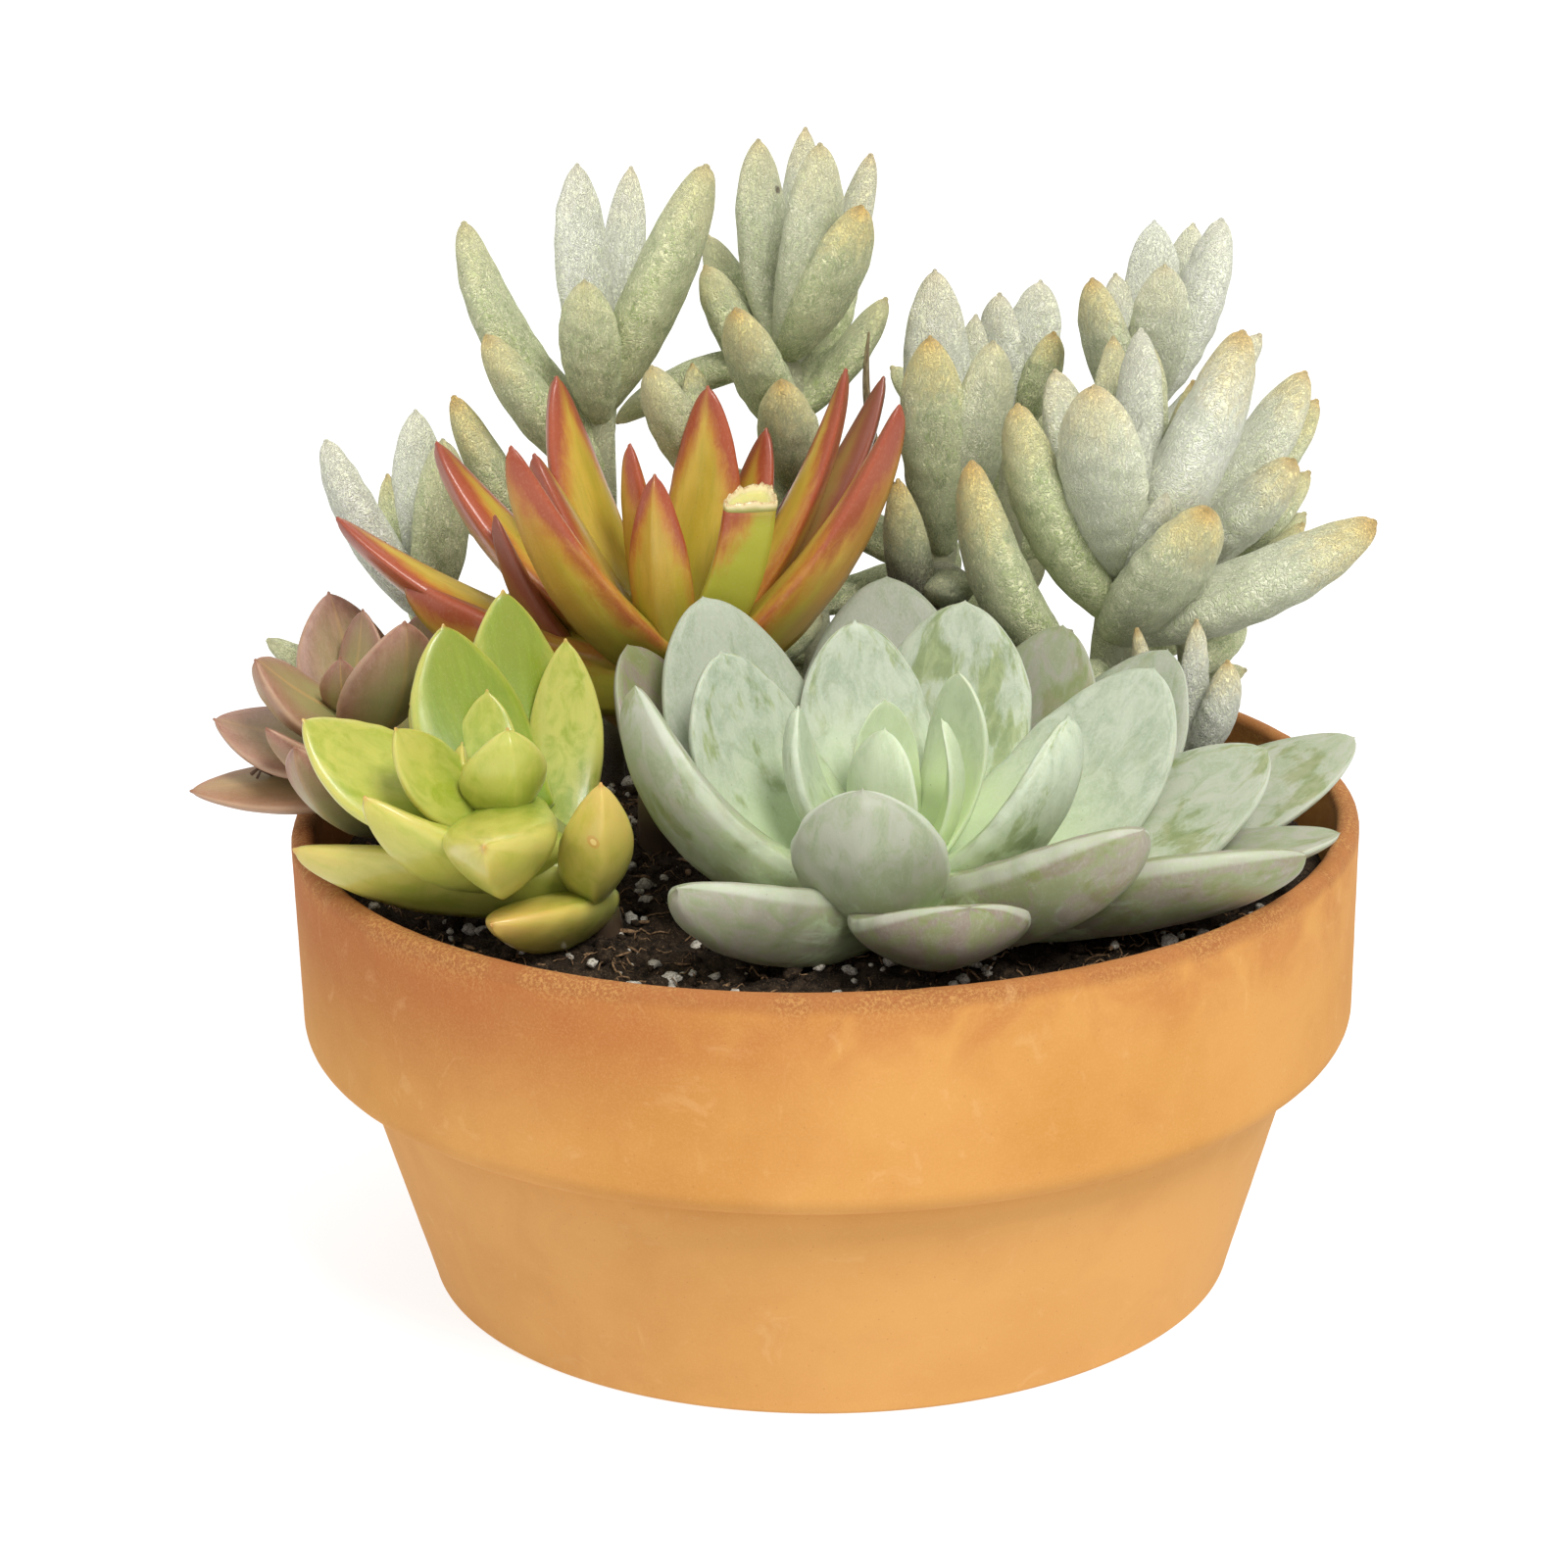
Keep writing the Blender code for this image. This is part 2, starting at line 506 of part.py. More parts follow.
def add_soil(parts, cutters):
    """The potting soil, with a plain hole for each stem."""
    wall = list(reversed(inner_wall(SOIL_GAP)))
    wall[0] = (wall[0][0], SOIL_TOP - 6.0)
    rings = [(radius, SOIL_TOP) for radius in SOIL_RINGS]
    edge = [(LIP_INNER_RADIUS - 3.6, SOIL_TOP - 1.6)]
    profile = [(0.0, SOIL_TOP)] + rings + edge + wall + [(0.0, FLOOR_THICKNESS + SOIL_GAP)]
    body = turned("soil_turned", profile, parts)
    mesh = finished_mesh(body)
    mesh.name = "soil"
    bpy.data.objects.remove(body)
    for vert in mesh.vertices:
        if vert.co.z > (SOIL_TOP - 0.5) * MM:
            vert.co.z = soil_height(vert.co.x / MM, vert.co.y / MM) * MM
    soil = add_object("soil", mesh, parts)
    for name, plant in PLANTS.items():
        flats = math.cos(math.pi / HOLE_SIDES)
        radius = (plant.stem + SOIL_GAP) / flats
        drill = add_cutter("hole_" + name, plant.foot, radius, STEM_FOOT - HOLE_DEEPER,
                           SOIL_TOP + HOLE_ABOVE, HOLE_SIDES, cutters)
        hole = soil.modifiers.new("hole_" + name, "BOOLEAN")
        hole.operation = "DIFFERENCE"
        hole.object = drill
    soil.data.materials.append(clay("potting_soil", (0.035, 0.025, 0.018), 0.95))
    return soil


def add_stem(name, plant, collection):
    """A stem as a tube from its foot in the soil to its top."""
    route = [Vector((*plant.foot, STEM_FOOT)), Vector((*plant.foot, SOIL_TOP + 3.0))]
    for index in range(1, STEM_STEPS + 1):
        point = stem_point(plant, index / STEM_STEPS)
        if point.z > SOIL_TOP + 5.0:
            route.append(point)
    line = bpy.data.curves.new(name + "_line", "CURVE")
    line.dimensions = "3D"
    line.bevel_depth = plant.stem * MM
    line.bevel_resolution = 1
    line.use_fill_caps = True
    spline = line.splines.new("POLY")
    spline.points.add(len(route) - 1)
    for spot, point in zip(spline.points, route):
        spot.co = (*(point * MM), 1.0)
    curve = add_object(name + "_line", line, collection)
    mesh = finished_mesh(curve)
    bpy.data.objects.remove(curve)
    shape = bmesh.new()
    shape.from_mesh(mesh)
    bmesh.ops.remove_doubles(shape, verts=shape.verts, dist=SEAM)
    bmesh.ops.recalc_face_normals(shape, faces=shape.faces)
    shape.to_mesh(mesh)
    shape.free()
    return add_object(name, mesh, collection)


def islands(shape):
    """The groups of faces that hang together by their edges in a bmesh."""
    left = set(shape.faces)
    found = []
    while left:
        group = set()
        waiting = [left.pop()]
        while waiting:
            face = waiting.pop()
            group.add(face)
            for edge in face.edges:
                for near in edge.link_faces:
                    if near in left:
                        left.remove(near)
                        waiting.append(near)
        found.append(group)
    return found


def clean_union(mesh):
    """Join close corners, fill the hollows that joining sealed and drop loose scraps."""
    shape = bmesh.new()
    shape.from_mesh(mesh)
    bmesh.ops.triangulate(shape, faces=shape.faces)
    bmesh.ops.remove_doubles(shape, verts=shape.verts, dist=WELD * MM)
    bmesh.ops.dissolve_degenerate(shape, dist=SHORT_EDGE * MM, edges=shape.edges)
    flaps = [face for face in shape.faces if all(len(edge.link_faces) != 2 for edge in face.edges)]
    bmesh.ops.delete(shape, geom=flaps, context="FACES_ONLY")
    groups = islands(shape)
    groups.sort(key=lambda group: sum(face.calc_area() for face in group))
    spare = [face for group in groups[:-1] for face in group]
    bmesh.ops.delete(shape, geom=spare, context="FACES")
    shape.to_mesh(mesh)
    shape.free()


def add_plant(name, plant, parts, material):
    """A plant: its leaves joined to its stem in one solid."""
    leaves = bpy.data.collections.new(name + "_leaves")
    bpy.context.scene.collection.children.link(leaves)
    stem = add_stem(name + "_stem", plant, parts)
    for leaf, tip in all_leaves(plant):
        add_object(leaf.name, leaf_mesh(plant, leaf, tip), leaves)
    joined = stem.modifiers.new("join", "BOOLEAN")
    joined.operation = "UNION"
    joined.operand_type = "COLLECTION"
    joined.collection = leaves
    joined.solver = "EXACT"
    whole = add_object(name, finished_mesh(stem), parts)
    clean_union(whole.data)
    bpy.data.objects.remove(stem)
    for thing in list(leaves.objects):
        bpy.data.objects.remove(thing)
    bpy.data.collections.remove(leaves)
    whole.data.materials.clear()
    whole.data.materials.append(material)
    return whole


def main():
    """Build the garden in an empty scene."""
    for thing in list(bpy.data.objects):
        bpy.data.objects.remove(thing)
    parts = bpy.data.collections.new("succulent_dish_garden")
    cutters = bpy.data.collections.new("cutters")
    bpy.context.scene.collection.children.link(parts)
    bpy.context.scene.collection.children.link(cutters)
    add_pan(parts, cutters)
    add_soil(parts, cutters)
    materials = {
        BLUE: clay("blue_leaf", (0.42, 0.56, 0.46), 0.55),
        LIME: clay("lime_leaf", (0.45, 0.58, 0.06), 0.35),
        BRONZE: clay("bronze_leaf", (0.36, 0.19, 0.14), 0.55),
        RED: clay("red_leaf", (0.62, 0.20, 0.06), 0.30),
        WOOLLY: clay("woolly_leaf", (0.60, 0.66, 0.50), 0.90),
    }
    for name, plant in PLANTS.items():
        add_plant(name, plant, parts, materials[plant.kind])


main()
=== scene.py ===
"""The looks of a dish garden of succulents in a clay pan.

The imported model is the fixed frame. Each plant, the soil and the pan get a
fine surface here that keeps the form of its solid, with the colours, bloom,
felt, grain and grit that the photograph shows.

Lengths are millimetres until a mesh is made, where MM turns them into metres.
"""
import json
import math
import random
from collections import namedtuple

import bmesh
import bpy
import numpy as np
from mathutils import Matrix, Vector, noise

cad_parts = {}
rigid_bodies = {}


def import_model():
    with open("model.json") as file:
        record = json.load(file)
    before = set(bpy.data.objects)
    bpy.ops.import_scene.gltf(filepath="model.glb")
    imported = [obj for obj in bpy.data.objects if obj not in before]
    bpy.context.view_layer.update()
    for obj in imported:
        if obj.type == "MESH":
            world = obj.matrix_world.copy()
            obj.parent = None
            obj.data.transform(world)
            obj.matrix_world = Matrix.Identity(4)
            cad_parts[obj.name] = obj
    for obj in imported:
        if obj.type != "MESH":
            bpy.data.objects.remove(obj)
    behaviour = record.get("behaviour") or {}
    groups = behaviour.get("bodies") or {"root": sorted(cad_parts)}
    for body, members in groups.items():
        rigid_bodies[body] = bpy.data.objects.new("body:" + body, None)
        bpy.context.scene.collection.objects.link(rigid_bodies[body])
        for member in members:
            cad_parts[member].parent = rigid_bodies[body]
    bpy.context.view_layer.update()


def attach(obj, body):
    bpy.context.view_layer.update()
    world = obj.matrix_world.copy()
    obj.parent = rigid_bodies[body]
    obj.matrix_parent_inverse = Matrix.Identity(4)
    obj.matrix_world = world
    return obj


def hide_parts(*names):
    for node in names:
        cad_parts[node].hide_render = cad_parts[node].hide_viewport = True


MM = 0.001

# How the photograph looks at the garden, in its frame of 1600 x 1600 pixels
FRAME_SIZE = 1600.0
FRAME_MIDDLE = 800.0
FOCAL_PIXELS = 4740.0
SENSOR_WIDTH = 36.0
VIEW_AIM = Vector((-7.6, 0.0, 94.7))
VIEW_DISTANCE = 886.0
VIEW_PITCH = math.radians(18.75)
VIEW_ROLL = math.radians(-1.07)
NEAR_CLIP = 0.05
UP = Vector((0.0, 0.0, 1.0))
TO_FRONT = Vector((0.0, -math.cos(VIEW_PITCH), math.sin(VIEW_PITCH)))

# The studio, its floor in metres. A light has a heading from the front and a
# height, both in degrees, a spread in degrees, a strength and a colour.
FLOOR_HALF = 12.0
FLOOR_COLOR = (0.31, 0.315, 0.32, 1.0)
ROOM_LIGHT = 0.63
FLOOR_GLOW = 0.78
WHITE = (1.0, 1.0, 1.0, 1.0)
LIGHTS = {
    "key": (28.0, 50.0, 20.0, 2.4, (1.0, 0.985, 0.95)),
    "fill": (-50.0, 42.0, 50.0, 0.42, (1.0, 0.99, 0.98)),
    "back": (160.0, 50.0, 40.0, 0.70, (1.0, 1.0, 1.0)),
}

# The pan
RIM_RADIUS = 101.5
PAN_HEIGHT = 90.4
BAND_BOTTOM = 48.2
BAND_CORNER = 5.0
BODY_TOP_RADIUS = 91.3
BASE_RADIUS = 77.8
LIP_INNER_RADIUS = 97.2
FLOOR_THICKNESS = 8.5
WALL_THICKNESS = 6.6
DRAIN_HOLE_RADIUS = 5.0
DRAIN_RING_RADIUS = 30.0
DRAIN_HOLES = 3
DRAIN_TURN = math.radians(95.0)
DRAIN_SIDES = 48
DRAIN_PLUG_LENGTH = FLOOR_THICKNESS + 8.0
PAN_STEPS = 256
SHARP_ANGLE = math.radians(40.0)

# The pan's wear: how far down from the lip it shows and where its foot ends
WORN_HEIGHT = 9.0
FOOT_HEIGHT = 1.5

# The soil
SOIL_TOP = 82.0
SOIL_TOP_MARGIN = 0.5
SOIL_GAP = 0.35
SOIL_BUMP = 1.2
SOIL_EDGE = 92.6
SOIL_RING_STEP = 0.8
SOIL_SPOKES = 320

# Grit on the soil: how many lumps, the seed of their places, the smallest and
# the largest, how flat and how long they are, how fine their meshes are and
# how far they stand out of the soil
Grit = namedtuple("Grit", "count seed low high flat long level sink")
CRUMBS = Grit(900, 11, 0.8, 2.2, 0.8, 1.2, 1, 0.2)
PERLITE = Grit(520, 12, 0.35, 1.9, 0.8, 1.2, 2, 0.3)
BARK = Grit(240, 13, 0.35, 0.8, 0.5, 4.0, 1, 0.5)
GRIT_REACH = 0.975

# Fibres on the soil: how many, the seed of their places, the points and sides of each
FIBRES = 700
FIBRE_SEED = 14
FIBRE_STEPS = 7
FIBRE_SIDES = 5
FIBRE_REACH = 0.96
FIBRE_LIFT = 0.15

# Stems, and how far a leaf's base reaches back into its stem
STEM_FOOT = 64.0
STEM_STEPS = 24
STEM_SIDES = 20
ROOT_DEPTH = 1.4

# How far a leaf rolls about its midrib at most, and the waves over its surface:
# how many, how close together along it and how high
LEAF_ROLL = 0.05
RIPPLES = 5
RIPPLE_STRETCH = 6.0
RIPPLE_HEIGHT = 0.14

# How deep the end of a cut leaf is hollowed under the dry skin that closes it,
# and that skin's rows from the rim inwards: how wide they are, how far they
# stand out of the cut in mm and how dry they are
CUT_HOLLOW = 2.5
CUT_ROWS = ((1.00, -1.0, 0.0), (1.035, -0.1, 0.5), (1.02, 0.5, 1.0), (0.93, 0.45, 0.9),
            (0.84, -0.35, 0.3), (0.6, -0.5, 0.1), (0.3, -0.4, 0.0))
CUT_BACK = 1.5
CUT_MIDDLE = 0.35

# A direction that no stem, rootlet or fibre follows
ASKEW = (0.31, 0.95, 0.05)

# The numbers by which a material knows the parts of a plant
STEM_PART = 1.0
CUT_PART = 2.0
ROOTLET_PART = 3.0

# A kind of leaf. The first part is its form: where it is widest, how wide its
# base is, how fast it widens, how pointed its tip is, how thick it is, how
# much of that lies above the middle, how keeled its back is, how far its
# edges lift, how far its midrib bows, how sharp its edges are, the length and
# width of the point at its tip, and how far it narrows before it. Then come
# the sides, rows and crowding of its grid, the waviness of its surface and
# the slot of its finish.
Kind = namedtuple("Kind", "widest base rise point thick above keel cup bow edge nib nib_width taper "
                          "sides rows crowd wave slot")

# A leaf: the pixel where its tip is seen, the tip's depth y, its width, how
# far up the stem it grows, how far its face is turned to the front, and what
# differs from its kind. The last values are its looks, from 0 to 1: how far
# its tip is tinged, how much of its bloom is rubbed off, how pale and how
# dull it is, and for a leaf that was cut, where along it the cut is.
Leaf = namedtuple("Leaf", "name seen depth width at show bow thick tip rub pale dull cut",
                  defaults=(0.0, None, None, 0.3, 0.3, 0.3, 0.0, None))

# Leaves on the side that the photograph doesn't show: how many, the heading
# of the first about the stem and the step to the next, how far they lift,
# their length and width, how far up the stem the first grows and the step.
Whorl = namedtuple("Whorl", "count first step lift length width at climb")

# A plant: the kind of its leaves, where it stands in the soil, the top of
# its stem, the stem's radius, the leaves and the whorls behind them.
Plant = namedtuple("Plant", "kind foot top stem leaves whorls")

BLUE = Kind(0.62, 0.50, 1.0, 0.44, 0.42, 0.30, 0.30, 0.12, 0.16, 0.82, 0.5, 0.26, 0.18,
            40, 44, 1.5, 0.25, "blue_leaf")
LIME = Kind(0.52, 0.55, 1.0, 0.66, 0.48, 0.30, 0.50, 0.06, 0.12, 0.88, 0.6, 0.4, 0.0,
            40, 40, 1.4, 0.18, "lime_leaf")
BRONZE = Kind(0.54, 0.50, 1.0, 0.68, 0.44, 0.30, 0.55, 0.06, 0.10, 1.0, 0.5, 0.4, 0.0,
              36, 36, 1.4, 0.15, "bronze_leaf")
RED = Kind(0.45, 0.70, 1.0, 0.58, 0.70, 0.28, 0.70, 0.00, 0.08, 1.0, 0.6, 0.4, 0.0,
           36, 44, 1.4, 0.15, "red_leaf")
WOOLLY = Kind(0.58, 0.30, 0.85, 0.43, 0.92, 0.50, 0.00, 0.00, 0.05, 1.00, 0.6, 0.50, 0.25,
              32, 44, 1.4, 0.45, "woolly_leaf")

BLUE_LEAVES = (
    Leaf("back_left_low", (640, 657), -19, 26, 0.50, show=0.2, tip=1.0, dull=0.6),
    Leaf("left_long", (648, 699), -50, 24, 0.60, show=-0.35, thick=15, tip=0.5, rub=0.6),
    Leaf("left_wide", (735, 664), -40, 27, 0.70, show=0.45, thick=9, tip=0.1, rub=0.45),
    Leaf("back_left_wide", (717, 608), -20, 31, 0.60, show=0.45, tip=0.15, rub=0.1, dull=0.35),
    Leaf("left_small", (815, 720), -54, 13, 0.90, show=0.3, thick=7, tip=0.0, pale=0.6),
    Leaf("back_wide", (872, 632), -18, 25, 0.85, show=0.3, thick=9, tip=0.1, rub=0.4),
    Leaf("back_grey", (905, 587), 8, 34, 0.50, rub=0.1, dull=0.6),
    Leaf("back_green", (985, 612), -5, 32, 0.70, tip=0.1, rub=0.75),
    Leaf("back_right_low", (1085, 637), 0, 29, 0.50, show=0.2, tip=0.6, rub=0.6, dull=0.4),
    Leaf("heart_left", (903, 713), -42, 13, 1.00, thick=4, tip=0.0, rub=0.1, pale=1.0),
    Leaf("heart_front", (903, 742), -57, 17, 1.00, show=0.2, thick=4.5, tip=0.0, rub=0.1, pale=0.9),
    Leaf("heart_right", (960, 733), -52, 10, 1.00, thick=4, tip=0.0, rub=0.1, pale=1.0),
    Leaf("heart_back", (978, 685), -42, 15, 0.95, thick=5, tip=0.0, rub=0.1, pale=0.9),
    Leaf("right_inner", (1090, 730), -62, 22, 0.90, show=-0.2, thick=11, tip=0.0, rub=0.45, pale=0.5),
    Leaf("right_wide", (1178, 681), -22, 29, 0.75, show=0.5, tip=0.1, rub=0.15),
    Leaf("right_behind", (1192, 662), -5, 30, 0.60, show=0.4, rub=0.2, dull=0.5),
    Leaf("right_long", (1294, 764), -30, 27, 0.60, show=0.45, bow=0.10, rub=0.5),
    Leaf("far_right", (1383, 752), -8, 24, 0.50, show=0.35, bow=0.06, tip=0.4, rub=0.6),
    Leaf("front_right", (1168, 846), -77, 23, 0.58, show=-1.2, bow=0.08, thick=17, tip=0.9, rub=0.5),
    Leaf("over_lip_right", (1334, 872), -61, 24, 0.57, show=-0.9, bow=0.03, thick=15, tip=0.9, rub=0.6),
    Leaf("right_low", (1368, 850), -36, 20, 0.45, bow=0.02, thick=8, tip=0.6, rub=0.4),
    Leaf("front_face", (880, 804), -76, 28, 0.55, show=-0.5, thick=12, tip=0.45, rub=0.1),
    Leaf("front_left", (690, 905), -79, 23, 0.69, show=-1.8, bow=0.11, thick=15, tip=0.7),
    Leaf("front_lip", (990, 925), -93, 31, 0.72, show=-1.0, bow=0.13, thick=12, tip=1.0, rub=0.6),
)

LIME_LEAVES = (
    Leaf("left", (308, 733), -50, 22, 0.93, show=0.5, tip=0.15),
    Leaf("over_lip", (298, 866), -46, 22, 0.40, show=-0.6, bow=0.03, thick=14, tip=0.4, rub=0.5, pale=0.6),
    Leaf("front_left", (371, 812), -68, 20, 0.65, show=-0.25, thick=13, tip=0.25),
    Leaf("back", (452, 636), -30, 23, 0.80, show=0.2, tip=0.1, rub=1.0, pale=0.0),
    Leaf("back_right", (513, 601), -22, 22, 0.55, show=0.1, tip=0.1, rub=0.9, pale=0.0),
    Leaf("right", (577, 651), -28, 14, 0.60, show=-0.2, thick=9, tip=0.1, pale=0.8),
    Leaf("inner_back", (497, 703), -36, 11, 1.00, tip=0.1),
    Leaf("inner_left", (403, 742), -60, 16, 0.90, show=0.6, thick=8, tip=0.15),
    Leaf("inner_right", (518, 742), -58, 16, 0.95, thick=11, tip=0.05, pale=0.6),
    Leaf("bud_back", (472, 757), -46, 9, 1.00),
    Leaf("bud_front", (478, 775), -50, 9, 1.00, tip=0.4),
    Leaf("front", (493, 864), -84, 20, 0.85, show=-1.0, bow=0.05, thick=18),
    Leaf("front_right", (613, 798), -66, 13.5, 0.38, show=-0.3, thick=12, tip=0.7, pale=1.0),
    Leaf("low_front", (500, 943), -72, 16, 0.22, show=-0.8, bow=0.02, thick=12, tip=0.9, rub=0.4, pale=0.7),
    Leaf("back_left", (418, 716), -25, 17, 0.50, tip=0.1, rub=0.8),
)

BRONZE_LEAVES = (
    Leaf("over_rim", (193, 807), -8, 17, 0.50, show=0.2, bow=0.02, thick=8, tip=0.9),
    Leaf("left_low", (217, 733), -4, 20, 0.78, show=0.35, tip=0.4),
    Leaf("left", (260, 672), -14, 20, 0.90, show=0.4, tip=0.5, rub=0.8),
    Leaf("back", (335, 603), 12, 22, 0.75, tip=0.2),
    Leaf("inner_back", (370, 621), 2, 12, 1.00, rub=0.5),
    Leaf("right", (413, 633), -22, 19, 0.90, tip=0.1),
    Leaf("front_left", (271, 742), -22, 14, 0.60, thick=8, tip=0.2),
    Leaf("front", (300, 762), -36, 18, 0.40, show=-0.4, thick=12, tip=0.2),
    Leaf("heart", (347, 670), -12, 9, 1.00, rub=0.6),
    Leaf("back_right", (432, 622), 11, 16, 0.65, tip=0.2),
)

RED_LEAVES = (
    Leaf("left", (343, 527), 5, 14, 0.97, tip=0.75),
    Leaf("left_low", (413, 591), 1, 19, 0.92, show=-0.8, thick=15, tip=0.45),
    Leaf("back_left", (445, 450), 10, 16, 1.00, tip=0.9),
    Leaf("front_left", (521, 454), -22, 17, 1.00, tip=0.6),
    Leaf("back_tall", (568, 383), 14, 17, 0.90, tip=0.55),
    Leaf("behind_front", (545, 462), 0, 15, 0.85, bow=0.02, tip=0.6, dull=0.3),
    Leaf("inner_left", (643, 452), -2, 12, 1.00, bow=0.0, tip=0.5),
    Leaf("inner", (668, 483), -12, 12, 1.00, tip=0.45),
    Leaf("back", (722, 393), 12, 17, 0.95, tip=0.5),
    Leaf("back_small", (782, 436), 16, 14, 0.95, tip=0.9),
    Leaf("cut", (762, 508), -8, 15, 0.95, tip=0.0, rub=1.0, cut=0.52),
    Leaf("right_tall", (863, 375), 12, 11, 0.85, tip=0.8),
    Leaf("right_dark", (902, 383), 28, 13, 0.75, tip=1.0, dull=0.8),
    Leaf("right_long", (918, 412), -6, 17, 0.80, tip=0.7),
    Leaf("right_small", (806, 499), 20, 8, 0.70, tip=1.0, dull=0.8),
    Leaf("left_dark", (505, 525), -2, 11, 0.60, tip=1.0, dull=0.8),
)

